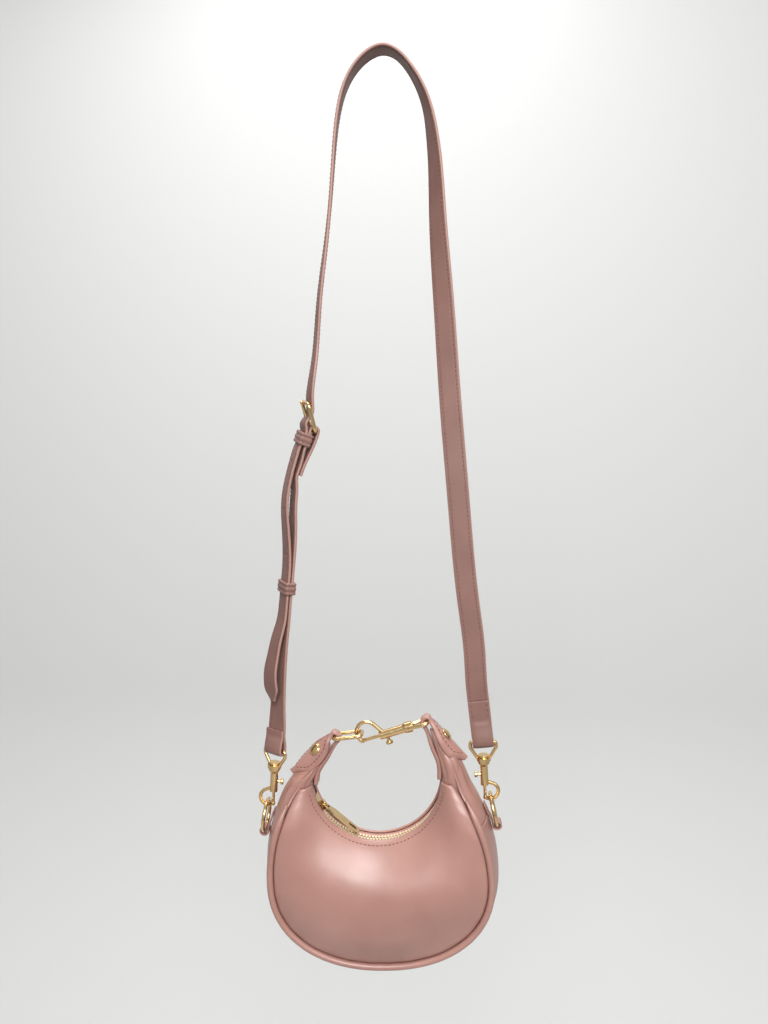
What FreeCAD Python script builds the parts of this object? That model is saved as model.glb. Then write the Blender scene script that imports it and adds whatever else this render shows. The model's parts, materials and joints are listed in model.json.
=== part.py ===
import FreeCAD, Part
import math
import os

# Small crescent crossbody purse in soft leather, hanging by its strap.
# Millimetres, +Z up, front of the purse towards -Y. The origin is the point on the inner
# face of the strap, at the top of its loop, where a hook or a shoulder carries it.

Vec = FreeCAD.Vector
os.makedirs("parts", exist_ok=True)

# ---------------------------------------------------------------- driving sizes
# where the bag hangs: centre of its round handle hole, and its tilt about Y
bag_center_x = -5.0
bag_center_z = -508.7
bag_tilt = 3.5                 # degrees, right-hand side higher

# pouch, in the bag's own frame (origin at the centre of the round handle hole)
pouch_half_width = 77.5        # to the panel's seam
pouch_widest_z = -72.0         # height of the widest place
pouch_depth_below = 60.4       # from the widest place down to the bottom seam
pouch_bottom_power = 2.2       # 2 is an ellipse, more is squarer
pouch_side_radius = 115.0      # above the widest place the sides lean in on this radius
rim_radius = 47.6              # round mouth edge of both panels
rim_half_gap = 8.5             # mouth edge to the middle plane
seam_half_gap = 24.0           # panel seam to the middle plane
horn_half_gap = 12.0           # the same, at the tips of the panels
horn_angle = 85.0              # panel tips, degrees from straight down
closing_angle = 60.0           # from here the seams draw together
panel_bulge = 17.0             # how far the filled panel domes out
leather_thickness = 1.7
seam_clearance = 0.3           # between neighbouring pieces that are sewn together
piping_diameter = 4.3
piping_end_diameter = 1.5
piping_end_angle = 76.0
piping_taper_angle = 8.0
gusset_bulge_bottom = 9.8
gusset_bulge_side = 6.6
gusset_bulge_top = 8.0
gusset_seam_angle = 64.0       # cross seam between the lower and upper gusset
lining_gap = 0.9
lining_thickness = 0.5
lining_angle = 66.0

# zip
zip_half_angle = 74.0
zip_pitch = 2.4
tooth_radius = 49.6            # faces of the teeth towards the handle hole
tooth_width = 1.3
tooth_reach = 2.9              # across, from the middle gap to the tape
tooth_height = 2.6
tooth_middle_gap = 0.9         # slot for the slider's web
tape_width = 4.4
tape_thickness = 0.6
tape_lift = 0.4                # the tapes slope up from the teeth towards the panels
tape_sewing_gap = 0.08         # between a tape and its row of teeth
slider_angle = -66.0           # closed, near the left end of the zip
slider_length = 11.5
slider_width = 9.6
slider_plate = 1.3
slider_web = 0.5
slider_clearance = 0.3
bridge_lead_angle = 4.5        # bridge for the pull, ahead of the slider's middle
bridge_length = 6.6
bridge_height = 4.2
bridge_width = 2.2
bridge_hole = 2.4
pull_length = 33.0
pull_width = 8.0
pull_thickness = 1.3
pull_pin = 1.6
pull_cheek = 1.2               # each of the two arms that hold the pin
pull_slot_length = 7.0
pull_slot_width = 2.6
pull_lift = 19.0               # degrees the resting pull leans into the handle hole

# handle tabs: where the end link's wire lies, the spear tip and the inner leg's bend; the tips
# lie this far in from the pouch's widest place, so that they clear the side hooks
left_ear_inset = 12.9
right_ear_inset = 9.0
left_link_at = Vec(-29.5, 0, 29.5)
left_ear_at = Vec(left_ear_inset - pouch_half_width, 0, 5.6)
left_knee_at = Vec(-43.6, 0, 4.0)
right_link_at = Vec(40.0, 0, 38.9)
right_ear_at = Vec(pouch_half_width - right_ear_inset, 0, 11.0)
right_knee_at = Vec(47.2, 0, 8.0)
tab_foot_angle = 78.0          # where the inner legs reach the zip
tab_foot_radius = 48.2
tab_thickness = 1.7
tab_loop_width = 6.8
tab_loop_clearance = 0.8
tab_root_width = 16.0
tab_arch = 5.0                 # the outer leg is arched over the gusset
gusset_sink = 1.9              # the gusset lies this much deeper under the spear's corners
tab_corner_station = 28.0      # from the loop to the corners of the spear
stud_station = 16.5
stud_diameter = 9.0
stud_dome = 1.7
stud_shank = 3.0

# handle chain
chain_wire = 2.8
link_width = 13.6              # outside
clasp_slope = 15.2             # degrees, the clasp runs down to the left

# snap hooks, for the sides and for the handle
side_hook = dict(wire=2.6, eye_width=21.4, eye_height=10.2, eye_shoulder=4.6, eye_base=10.4,
                 post=3.2, head=8.0, head_height=1.4, base_height=2.6,
                 collar=8.6, collar_height=3.8, barrel=5.8, barrel_length=14.6,
                 loop_radius=6.1, loop_reach=4.8, loop_offset=3.7,
                 rod=2.2, knob=4.6, knob_reach=7.2, knob_station=8.0, travel=3.6)
clasp_hook = dict(wire=2.9, eye_width=13.4, eye_height=10.6, eye_shoulder=4.2, eye_base=8.4,
                  post=2.8, head=4.6, head_height=1.0, base_height=2.4,
                  collar=8.4, collar_height=4.2, barrel=6.4, barrel_length=18.0,
                  loop_radius=7.7, loop_reach=8.4, loop_offset=5.4,
                  rod=2.6, knob=5.4, knob_reach=7.8, knob_station=5.2, travel=4.0)
spring_wire = 0.36
spring_turns = 6
metal_clearance = 0.15         # between metal faces that turn on each other
bore_clearance = 0.05          # round a post or rod in its bore
link_clearance = 0.85          # slack where one loop hangs in another

# side rings
hook_level = -21.3             # bag frame: lowest point of each side hook's wire
hook_lean = 3.0                # degrees, the hooks lean in line with the strap's pull
strap_lean = 4.0               # the right strap end leans this much more
eye_slack = 0.55               # room for that lean round the eye's bar
ring_wire = 2.8
ring_outer = 25.5
ring_foot_lean = 3.8           # the ring's foot stands out, clear of the gusset
ring_stand_off = 1.0           # between the gusset's crown and the leather folded round that foot
ring_tab_width = 8.0
ring_tab_thickness = 1.3
ring_tab_clearance = 0.95
ring_tab_rise = 3.6            # degrees of the seam line that the sewn end covers

# strap
strap_width = 15.0
strap_thickness = 2.4
strap_flap = 31.0              # doubled length at the bag ends
fold_gap = 0.06                # half the gap between sewn layers
layer_gap = 0.35               # between layers of the strap that slide
keeper_height = 9.2
keeper_thickness = 1.3
keeper_clearance = 0.35
buckle_wire = 2.8
buckle_width = 21.0            # between the centres of the side bars
buckle_pitch = 20.4            # far bar to heel bar
tongue_diameter = 2.0
tongue_roll = 2.6              # width of the eye that the tongue turns on
heel_flap = 33.0               # doubled length of the short strap at the buckle
heel_sewn_from = 29.0
keeper_along = 7.6             # from the heel bar down to the fixed keeper
hole_diameter = 2.8
hole_pitch = 34.0
first_hole_below = 12.0        # the hole row is counted from this far above the heel bar

# ---------------------------------------------------------------- helpers
bag = FreeCAD.Placement(Vec(bag_center_x, 0, bag_center_z),
                        FreeCAD.Rotation(Vec(0, 1, 0), -bag_tilt))


def placed(shape, placement):
    return shape.transformed(placement.toMatrix())


def save(node, shape):
    """Write one node, and refuse anything that isn't made of sound solids."""
    solids = shape.Solids
    if not solids or not shape.isValid():
        raise ValueError("bad shape: " + node)
    shape.exportStep("parts/" + node + ".step")
    print(f"{node:22s} solids {len(solids):3d}  volume {sum(s.Volume for s in solids):9.1f}")


def spline(points):
    curve = Part.BSplineCurve()
    curve.interpolate(points)
    return curve.toShape()


def strip_wire(outer, inner):
    """Closed section of a bent sheet: a curve, its inner twin, and the two short ends."""
    near = Part.makeLine(outer[-1], inner[-1])
    far = Part.makeLine(inner[0], outer[0])
    return Part.Wire([spline(outer), near, spline(list(reversed(inner))), far])


def loft(wires):
    return Part.makeLoft(wires, True, False)


def polar(radius, angle, y=0.0):
    """Bag-frame point at an angle from straight down, positive to the right."""
    a = math.radians(angle)
    return Vec(radius * math.sin(a), y, -radius * math.cos(a))


def ease(t):
    t = max(0.0, min(1.0, t))
    return t * t * (3 - 2 * t)


def rounded_path(points, radius):
    """Edges along a chain of points, with each inner corner rounded."""
    edges = []
    here = points[0]
    for before, corner, after in zip(points, points[1:], points[2:]):
        back = (before - corner).normalize()
        ahead = (after - corner).normalize()
        half = back.getAngle(ahead) / 2
        cut = radius / math.tan(half)
        start = corner + back * cut
        end = corner + ahead * cut
        bisector = (back + ahead).normalize()
        middle = corner + bisector * (radius / math.sin(half) - radius)
        if here.distanceToPoint(start) > 0.01:
            edges.append(Part.makeLine(here, start))
        edges.append(Part.Arc(start, middle, end).toShape())
        here = end
    if here.distanceToPoint(points[-1]) > 0.01:
        edges.append(Part.makeLine(here, points[-1]))
    return edges


def wire_rod(edges, diameter):
    """Round wire along a chain of straight and curved edges, open or closed."""
    path = Part.Wire(edges)
    start = path.OrderedEdges[0]
    first = start.valueAt(start.FirstParameter)
    ring = Part.Wire([Part.makeCircle(diameter / 2, first, start.tangentAt(start.FirstParameter))])
    return path.makePipeShell([ring], True, False)


def closed_frame(corners, radius, diameter):
    """Round wire bent into a closed frame with rounded corners."""
    start = (corners[0] + corners[-1]) * 0.5
    edges = rounded_path([start] + corners + [start], radius)
    return wire_rod(edges, diameter)


def bent_strip(points, thickness, width, across):
    """Flat strip bent along a chain of points that lie in one plane, square to its width."""
    curve = Part.BSplineCurve()
    curve.interpolate(points)
    left = []
    right = []
    for point in points:
        run = Vec(*curve.tangent(curve.parameter(point))[0]).normalize()
        side = run.cross(across).normalize() * (thickness / 2)
        left.append(point + side)
        right.append(point - side)
    face = Part.Face(strip_wire(left, right))
    return face.extrude(across * width).translated(across * (-width / 2))


# ---------------------------------------------------------------- pouch outline
def side_x(z):
    """Half width of the panel's seam line at a height of the bag frame."""
    drop = z - pouch_widest_z
    if drop < 0:
        share = min(1.0, -drop / pouch_depth_below)
        return pouch_half_width * (1 - share ** pouch_bottom_power) ** (1 / pouch_bottom_power)
    return pouch_half_width - pouch_side_radius + math.sqrt(pouch_side_radius ** 2 - drop ** 2)


def seam_radius(angle):
    """Distance from the handle-hole centre to the seam line along one direction."""
    low = rim_radius
    high = 2 * (pouch_depth_below - pouch_widest_z)
    for _ in range(50):
        middle = (low + high) / 2
        point = polar(middle, angle)
        inside = point.z > pouch_widest_z - pouch_depth_below and abs(point.x) < side_x(point.z)
        low, high = (middle, high) if inside else (low, middle)
    return low


def seam_point(angle):
    return polar(seam_radius(angle), angle)


def seam_normal(angle):
    """Outward normal of the seam line, in the middle plane."""
    run = (seam_point(angle + 0.2) - seam_point(angle - 0.2)).normalize()
    return Vec(run.z, 0, -run.x)


def even_angles(limit, count):
    """Angles from -limit to +limit, evenly spaced along the seam line."""
    fine = [-limit + 2 * limit * i / 400 for i in range(401)]
    points = [seam_point(a) for a in fine]
    run = [0.0]
    for here, there in zip(points, points[1:]):
        run.append(run[-1] + here.distanceToPoint(there))
    picked = []
    for i in range(count):
        goal = run[-1] * i / (count - 1)
        nearest = min(range(len(run)), key=lambda j: abs(run[j] - goal))
        picked.append(fine[nearest])
    return picked


def seam_gap(angle):
    """The two seams draw together towards the tips of the panels."""
    closing = ease((abs(angle) - closing_angle) / (horn_angle + 4 - closing_angle))
    return seam_half_gap - (seam_half_gap - horn_half_gap) * closing


# ---------------------------------------------------------------- panels
profile_steps = 8


def panel_profile(angle, inset):
    """Panel section (radius, depth) from the mouth edge to the seam, moved in by an inset."""
    reach = seam_radius(angle) - rim_radius
    deep = seam_gap(angle)
    bulge = panel_bulge * reach / (seam_radius(0) - rim_radius)
    line = []
    for i in range(profile_steps + 1):
        s = i / profile_steps
        depth = rim_half_gap + (deep - rim_half_gap) * s + bulge * math.sin(math.pi * s ** 0.9)
        line.append((rim_radius + reach * s, depth))
    moved = []
    for i, (radius, depth) in enumerate(line):
        before = line[max(i - 1, 0)]
        after = line[min(i + 1, profile_steps)]
        run_r = after[0] - before[0]
        run_d = after[1] - before[1]
        size = math.hypot(run_r, run_d)
        moved.append((radius + inset * run_d / size, depth - inset * run_r / size))
    return moved


def make_panel(side):
    wires = []
    for angle in even_angles(horn_angle, 21):
        outer = [polar(r, angle, side * d) for r, d in panel_profile(angle, 0)]
        inner = [polar(r, angle, side * d) for r, d in panel_profile(angle, leather_thickness)]
        wires.append(strip_wire(outer, inner))
    return loft(wires)


# ---------------------------------------------------------------- gusset
def band_wire(point, normal, half_width, bulge, thickness):
    """Section of a band arched across Y; its edges stand level with the given point."""
    outer = []
    inner = []
    for i in range(7):
        k = -1 + i / 3
        rise = bulge * (1 - k * k)
        across = Vec(0, half_width * k, 0)
        outer.append(point + across + normal * rise)
        inner.append(point + across + normal * (rise - thickness))
    return strip_wire(outer, inner)


piping_offset = piping_diameter / 2 + seam_clearance


def gusset_bulge(angle):
    side = ease(abs(angle) / 50)
    top = ease((abs(angle) - gusset_seam_angle) / (horn_angle - gusset_seam_angle))
    low = gusset_bulge_bottom + (gusset_bulge_side - gusset_bulge_bottom) * side
    return low + (gusset_bulge_top - gusset_bulge_side) * top


def gusset_station(angle):
    """Point, normal, half width and bulge of the gusset at an angle of the seam line."""
    normal = seam_normal(angle)
    point = seam_point(angle) + normal * piping_offset
    half = seam_gap(angle) - piping_diameter / 2 - seam_clearance
    return point, normal, half, gusset_bulge(angle)


def make_gusset_lower():
    wires = []
    for angle in even_angles(gusset_seam_angle, 17):
        wires.append(band_wire(*gusset_station(angle), leather_thickness))
    return loft(wires)


# ---------------------------------------------------------------- piping
def make_piping(side):
    wires = []
    for angle in even_angles(piping_end_angle, 25):
        normal = seam_normal(angle)
        share = ease((piping_end_angle - abs(angle)) / piping_taper_angle)
        diameter = piping_end_diameter + (piping_diameter - piping_end_diameter) * share
        centre = seam_point(angle) + normal * piping_offset
        centre.y = side * seam_gap(angle)
        run = Vec(0, 1, 0).cross(normal)
        wires.append(Part.Wire([Part.makeCircle(diameter / 2, centre, run)]))
    return loft(wires)


# ---------------------------------------------------------------- lining
def make_lining():
    """Thin fabric bag inside the panels and gusset, open along the zip."""
    inset = leather_thickness + lining_gap
    wires = []
    for angle in even_angles(horn_angle, 21):
        if abs(angle) > lining_angle:
            continue
        edge = seam_radius(angle) - 1.0
        curves = []
        for extra in (0, lining_thickness):
            wall = [(r, d * 0.985) for r, d in panel_profile(angle, inset + extra)[1:profile_steps]]
            across = wall[-1][1] - 4.0
            points = [polar(r, angle, -d) for r, d in wall]
            points += [polar(edge - extra, angle, across * k) for k in (-1, -0.5, 0, 0.5, 1)]
            points += [polar(r, angle, d) for r, d in reversed(wall)]
            curves.append(points)
        wires.append(strip_wire(curves[0], curves[1]))
    return loft(wires)


# ---------------------------------------------------------------- handle tabs
class Tab:
    """Spear-ended strap folded round an end link: its directions and crown line, for one side."""

    def __init__(self, side, link, ear, knee):
        self.side = side
        self.link = link
        self.knee = knee
        self.foot = polar(tab_foot_radius, side * tab_foot_angle)
        self.loop_radius = clasp_hook["wire"] / 2 + tab_loop_clearance + tab_thickness
        down = (ear - link).normalize()
        normal = Vec(0, side, 0).cross(down)
        self.normal = normal if normal.z > 0 else normal * -1
        self.top = link + self.normal * self.loop_radius
        self.down = (ear - self.top).normalize()
        lean = Vec(0, side, 0).cross(self.down)
        self.lean = lean if lean.z > 0 else lean * -1
        self.length = self.top.distanceToPoint(ear)

    def crown(self, station):
        return self.top + self.down * station

    def arch(self, station):
        rise = ease(station / tab_corner_station)
        if station > tab_corner_station:
            rise = (self.length - station) / (self.length - tab_corner_station)
        return tab_arch * rise + 0.1

    def half_width(self, station):
        """Narrow at the loop, flared at the corners, ending in a point."""
        if station <= tab_corner_station:
            share = ease(station / (0.7 * tab_corner_station))
            return (tab_loop_width + (tab_root_width - tab_loop_width) * share) / 2
        left = (self.length - station) / (self.length - tab_corner_station)
        return max(0.9, tab_root_width / 2 * left)


left_tab = Tab(-1, left_link_at, left_ear_at, left_knee_at)
right_tab = Tab(1, right_link_at, right_ear_at, right_knee_at)


def make_tab(tab):
    """Outer leg up from the spear's point, then round the link's wire and down the inner leg."""
    wires = []
    corner = tab_corner_station
    stations = [tab.length - 0.6, tab.length - 3, (tab.length + corner) / 2, corner + 0.4, corner - 3]
    stations += [stud_station + 5, stud_station, stud_station - 6, 4, 1]
    for station in stations:
        arch = tab.arch(station)
        edge = tab.crown(station) - tab.lean * arch
        wires.append(band_wire(edge, tab.lean, tab.half_width(station), arch, tab_thickness))
    middle = tab.loop_radius - tab_thickness / 2
    back = (tab.top - tab.crown(1)).normalize()
    back = (back - tab.normal * back.dot(tab.normal)).normalize()
    points = [tab.crown(3) - tab.lean * tab_thickness / 2]
    for turn in range(0, 181, 30):
        a = math.radians(turn)
        points.append(tab.link + (tab.normal * math.cos(a) + back * math.sin(a)) * middle)
    start = points[-1]
    points += [start + (tab.knee - start) * 0.5, tab.knee]
    points += [tab.knee + (tab.foot - tab.knee) * 0.6, tab.foot]
    loop = bent_strip(points, tab_thickness, tab_loop_width, Vec(0, 1, 0))
    return loft(wires).fuse(loop).cut(stud_bore(tab)).removeSplitter()


def make_gusset_upper(tab):
    """Upper gusset: leaves the cross seam, rolls in and ends between the tab's two legs."""
    wires = []
    first = gusset_seam_angle + 0.3
    last = horn_angle - 8
    for i in range(5):
        angle = tab.side * (first + (last - first) * i / 4)
        wires.append(band_wire(*gusset_station(angle), leather_thickness))
    lower_half = gusset_station(tab.side * last)[2]
    for station, blend in ((tab_corner_station + 3, 0.82), (tab_corner_station - 3, 0.95),
                           (stud_station + 4, 1.0), (stud_station - 4, 1.0)):
        sink = tab_thickness + layer_gap + gusset_sink * ease((station - stud_station) / 8)
        inside = min(station, tab_corner_station)
        crown = tab.crown(station) - tab.lean * sink
        leg_half = tab.half_width(inside) - 0.8
        half = lower_half + (leg_half - lower_half) * blend
        arch = tab.arch(inside) * (half / tab.half_width(inside)) ** 2 + 0.3
        wires.append(band_wire(crown - tab.lean * arch, tab.lean, half, arch, leather_thickness))
    return loft(wires).cut(stud_bore(tab))


def make_stud(tab):
    """Domed rivet through the outer leg and the gusset end inside it."""
    seat = tab.crown(stud_station)
    sphere = (stud_diameter ** 2 / 4 + stud_dome ** 2) / (2 * stud_dome)
    dome = Part.makeSphere(sphere, seat + tab.lean * (stud_dome + 0.3 - sphere))
    cap = Part.makeCylinder(stud_diameter / 2, stud_dome + 1, seat + tab.lean * 0.3, tab.lean)
    shank = Part.makeCylinder(stud_shank / 2, 5.4, seat - tab.lean * 5.0, tab.lean)
    return dome.common(cap).fuse(shank).removeSplitter()


def stud_bore(tab):
    foot = tab.crown(stud_station) - tab.lean * 6
    return Part.makeCylinder(stud_shank / 2 + bore_clearance, 12, foot, tab.lean)


# ---------------------------------------------------------------- zip
def arc_block(corners, start, end):
    """Block bent round the handle hole: a section of (radius, depth) corners, swept by angle."""
    points = [polar(radius, start, depth) for radius, depth in corners]
    face = Part.Face(Part.makePolygon(points + [points[0]]))
    return face.revolve(Vec(0, 0, 0), Vec(0, -1, 0), end - start)


def arc_box(inner, outer, y_low, y_high, start, end):
    return arc_block([(inner, y_low), (outer, y_low), (outer, y_high), (inner, y_high)], start, end)


tooth_outer = tooth_radius + tooth_height
tooth_edge = tooth_middle_gap / 2 + tooth_reach
tape_radius = tooth_radius + (tooth_height - tape_thickness) / 2


def make_tape(side):
    low = side * (tooth_edge + tape_sewing_gap)
    high = low + side * tape_width
    raised = tape_radius - tape_lift
    corners = [(tape_radius, low), (raised, high), (raised + tape_thickness, high),
               (tape_radius + tape_thickness, low)]
    return arc_block(corners, -zip_half_angle - 3, zip_half_angle + 3)


def make_teeth(side):
    low, high = sorted((side * tooth_middle_gap / 2, side * tooth_edge))
    middle = (tooth_radius + tooth_outer) / 2
    step = math.degrees(zip_pitch / middle)
    half = math.degrees(tooth_width / 2 / middle)
    count = int(zip_half_angle // step)
    shift = step / 2 if side > 0 else 0
    teeth = []
    for i in range(-count, count + 1):
        angle = i * step + shift
        teeth.append(arc_box(tooth_radius, tooth_outer, low, high, angle - half, angle + half))
    return Part.makeCompound(teeth)


def make_zip_stops():
    """A stop on each tape at the slider's closed end, and one across both at the other end."""
    near = -zip_half_angle - 2.4
    far = zip_half_angle + 1.8
    pieces = [arc_box(tooth_radius, tooth_outer, tooth_middle_gap / 2, tooth_edge, near, near + 1.6),
              arc_box(tooth_radius, tooth_outer, -tooth_edge, -tooth_middle_gap / 2, near, near + 1.6),
              arc_box(tooth_radius, tooth_outer, -tooth_edge, tooth_edge, far, far + 2)]
    return Part.makeCompound(pieces)


bridge_angle = slider_angle + bridge_lead_angle
plate_inner = tooth_radius - slider_clearance - slider_plate
pin_radius = plate_inner - 1.9             # radius of the pull's pin from the hole centre


def make_slider():
    half = math.degrees(slider_length / 2 / tooth_radius)
    start = slider_angle - half
    end = slider_angle + half
    wide = slider_width / 2
    under = tooth_outer + slider_clearance
    overlap = slider_plate / 2
    body = arc_box(plate_inner, plate_inner + slider_plate, -wide, wide, start, end)
    body = body.fuse([arc_box(under, under + slider_plate, -wide, wide, start, end),
                      arc_box(plate_inner + overlap, under + overlap, -slider_web / 2, slider_web / 2,
                              slider_angle - 2.5, slider_angle + 2.5)])
    above = tape_radius - slider_clearance - tape_lift / 2
    below = tape_radius + tape_thickness + slider_clearance
    for side in (-1, 1):
        low, high = sorted((side * (tooth_edge + slider_clearance), side * wide))
        body = body.fuse([arc_box(plate_inner + overlap, above, low, high, start, end),
                          arc_box(below, under + overlap, low, high, start, end)])
    box = Part.makeBox(bridge_length, bridge_width, bridge_height,
                       Vec(-bridge_length / 2, -bridge_width / 2, 0))
    rounds = [e for e in box.Edges if abs(e.tangentAt(e.FirstParameter).y) > 0.9
              and e.CenterOfMass.z > bridge_height / 2]
    box = box.makeFillet(1.4, rounds)
    seat = plate_inner + overlap
    bore_at = Vec(0, -1.5 * bridge_width, seat - pin_radius)
    hole = Part.makeCylinder(bridge_hole / 2, 3 * bridge_width, bore_at, Vec(0, 1, 0))
    turn = FreeCAD.Placement(polar(seat, bridge_angle), FreeCAD.Rotation(Vec(0, 1, 0), -bridge_angle))
    return body.fuse(placed(box.cut(hole), turn)).removeSplitter()


def make_pull():
    """Flat pull with a pin in the slider's bridge; it rests leaning along the zip."""
    arm = bridge_width / 2 + slider_clearance
    near = arm + pull_cheek
    blade_start = bridge_length / 2 + 1.2
    half = pull_thickness / 2
    wide = pull_width / 2
    shape = Part.makeCylinder(pull_pin / 2, 2 * near, Vec(0, -near, 0), Vec(0, 1, 0))
    for low in (arm, -near):
        shape = shape.fuse(Part.makeBox(blade_start + 0.6, pull_cheek, pull_thickness, Vec(0, low, -half)))
    side = [(blade_start, near), (blade_start + 5, wide), (pull_length - 1.5, wide),
            (pull_length, wide - 1.5)]
    outline = [Vec(x, y, -half) for x, y in side] + [Vec(x, -y, -half) for x, y in reversed(side)]
    blade = Part.Face(Part.makePolygon(outline + [outline[0]])).extrude(Vec(0, 0, pull_thickness))
    corner = Vec(pull_length - pull_slot_length - 2.5, -pull_slot_width / 2, -1.5 * pull_thickness)
    slot = Part.makeBox(pull_slot_length, pull_slot_width, 3 * pull_thickness, corner)
    shape = shape.fuse(blade.cut(slot)).removeSplitter()
    turn = FreeCAD.Placement(polar(pin_radius, bridge_angle),
                             FreeCAD.Rotation(Vec(0, 1, 0), -bridge_angle - pull_lift))
    return placed(shape, turn)


# ---------------------------------------------------------------- snap hooks
# Own frame: the eye bar's centre is the origin, the hook hangs down -Z and bulges to its side in X.
class Levels:
    """Heights of a snap hook's parts below its eye bar."""

    def __init__(self, size):
        self.base_top = -size["eye_height"] - size["wire"] / 2
        self.base_foot = self.base_top - size["base_height"]
        self.collar_top = self.base_foot - metal_clearance
        self.collar_foot = self.collar_top - size["collar_height"]
        self.barrel_foot = self.collar_foot - size["barrel_length"]
        self.loop = self.barrel_foot - size["loop_reach"]
        self.bottom = self.loop - size["loop_radius"]
        self.nose = self.loop - math.sqrt(size["loop_radius"] ** 2 - size["loop_offset"] ** 2)
        self.knob = self.barrel_foot + size["knob_station"]
        self.rod_foot = self.nose + 0.35 * size["wire"] + metal_clearance
        self.neck = size["knob"] * 0.24
        self.rod_top = self.knob + self.neck + 0.3
        self.bore_top = self.collar_foot - 1.2


side_levels = Levels(side_hook)
clasp_levels = Levels(clasp_hook)
down = Vec(0, 0, -1)
up = Vec(0, 0, 1)


def make_eye(size, level, bar_turn):
    """Trapezoid eye on a bored base; the post of the hook turns in the bore."""
    half = (size["eye_width"] - size["wire"]) / 2
    foot = size["eye_base"] / 2 - 1.2
    low = level.base_top - size["base_height"] / 2
    drop = -size["eye_shoulder"]
    frame = closed_frame([Vec(-foot, 0, low), Vec(-half, 0, drop), Vec(-half, 0, 0), Vec(half, 0, 0),
                          Vec(half, 0, drop), Vec(foot, 0, low)], size["wire"] * 0.8, size["wire"])
    base = Part.makeCylinder(size["eye_base"] / 2, size["base_height"], Vec(0, 0, level.base_foot), up)
    slab = Part.makeBox(60, 60, 20, Vec(-30, -30, level.base_foot - 20))
    bore = Part.makeCylinder(size["post"] / 2 + bore_clearance, 12, Vec(0, 0, level.base_foot - 6), up)
    room = Part.makeCylinder(size["head"] / 2 + 0.2, size["head_height"] + 0.6, Vec(0, 0, level.base_top), up)
    shape = frame.fuse(base).cut(slab).cut(bore).cut(room).removeSplitter()
    return placed(shape, FreeCAD.Placement(Vec(0, 0, 0), FreeCAD.Rotation(up, bar_turn)))


def make_rivet(size, level):
    """Peened post: its flat head keeps the eye on the hook."""
    seat = Vec(0, 0, level.base_top + metal_clearance)
    head = Part.makeCylinder(size["head"] / 2, size["head_height"], seat, up)
    rim = [e for e in head.Edges if len(e.Vertexes) == 1 and e.CenterOfMass.z > level.base_top + 0.5]
    head = head.makeFillet(0.4, rim)
    post = Part.makeCylinder(size["post"] / 2, level.base_top - level.collar_top + metal_clearance,
                             Vec(0, 0, level.collar_top), up)
    return head.fuse(post).removeSplitter()


def make_hook(size, level):
    """Collar, slotted barrel with its bore, and the round hook that ends in a cupped nose."""
    wire = size["wire"]
    brim = size["collar_height"] * 0.45
    collar = Part.makeCone(size["barrel"] / 2, size["collar"] / 2, size["collar_height"] - brim,
                           Vec(0, 0, level.collar_foot), up)
    rim = Part.makeCylinder(size["collar"] / 2, brim, Vec(0, 0, level.collar_top - brim), up)
    barrel = Part.makeCylinder(size["barrel"] / 2, size["barrel_length"], Vec(0, 0, level.barrel_foot), up)
    # the hook is a round bowl; a straight arm leaves it on a tangent and enters the barrel
    reach = size["loop_radius"]
    centre = Vec(size["loop_offset"], 0, level.loop)
    nose = Vec(0, 0, level.nose)
    root = Vec(size["barrel"] * 0.25, 0, level.barrel_foot + wire)
    sight = root - centre
    turn = math.atan2(sight.z, sight.x) - math.acos(reach / sight.Length)
    leave = centre + Vec(math.cos(turn), 0, math.sin(turn)) * reach
    start = math.atan2(nose.z - centre.z, nose.x - centre.x)
    run = Vec(0, 1, 0).cross(nose - centre)
    mouth = Part.Face(Part.Wire([Part.makeCircle(wire / 2, nose, run)]))
    bowl = mouth.revolve(centre, Vec(0, -1, 0), math.degrees(turn - start))
    arm = Part.makeCylinder(wire / 2, leave.distanceToPoint(root), leave, root - leave)
    seat = Part.makeCone(wire * 0.48, wire * 0.62, wire * 0.8, nose + down * (wire * 0.42), up)
    shape = collar.fuse([rim, barrel, bowl, arm, seat])
    rod_gap = size["rod"] / 2 + bore_clearance
    bore = Part.makeCylinder(rod_gap, level.bore_top - level.rod_foot + metal_clearance,
                             Vec(0, 0, level.rod_foot - metal_clearance), up)
    neck = level.neck + metal_clearance
    slot = Part.makeBox(size["barrel"], 2 * neck, size["travel"] + 2 * neck,
                        Vec(-size["barrel"], -neck, level.knob - neck))
    return shape.cut(bore).cut(slot).removeSplitter()


def make_bolt(size, level):
    """Spring bolt: a rod that closes the hook's mouth, with its thumb knob."""
    rod = Part.makeCylinder(size["rod"] / 2, level.rod_top - level.rod_foot, Vec(0, 0, level.rod_foot), up)
    out = Vec(-1, 0, 0)
    neck = Part.makeCylinder(level.neck, size["knob_reach"] - 1.6, Vec(0, 0, level.knob), out)
    inner = Vec(0, 0, level.knob) + out * (size["knob_reach"] - 2.2)
    head = Part.makeCylinder(size["knob"] / 2, 2.2, inner, out)
    head = head.makeFillet(0.6, [e for e in head.Edges if len(e.Vertexes) == 1])
    return rod.fuse([neck, head]).removeSplitter()


def make_spring(size, level):
    """Coil spring above the bolt, in the barrel's bore."""
    low = level.rod_top + spring_wire / 2 + bore_clearance
    high = level.bore_top - spring_wire / 2 - bore_clearance
    radius = size["rod"] / 2 - spring_wire / 2
    helix = Part.makeHelix((high - low) / spring_turns, high - low, radius)
    ring = Part.Wire([Part.makeCircle(spring_wire / 2, Vec(radius, 0, 0), Vec(0, 1, 0))])
    return Part.Wire(helix).makePipeShell([ring], True, True).translated(Vec(0, 0, low))


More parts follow.
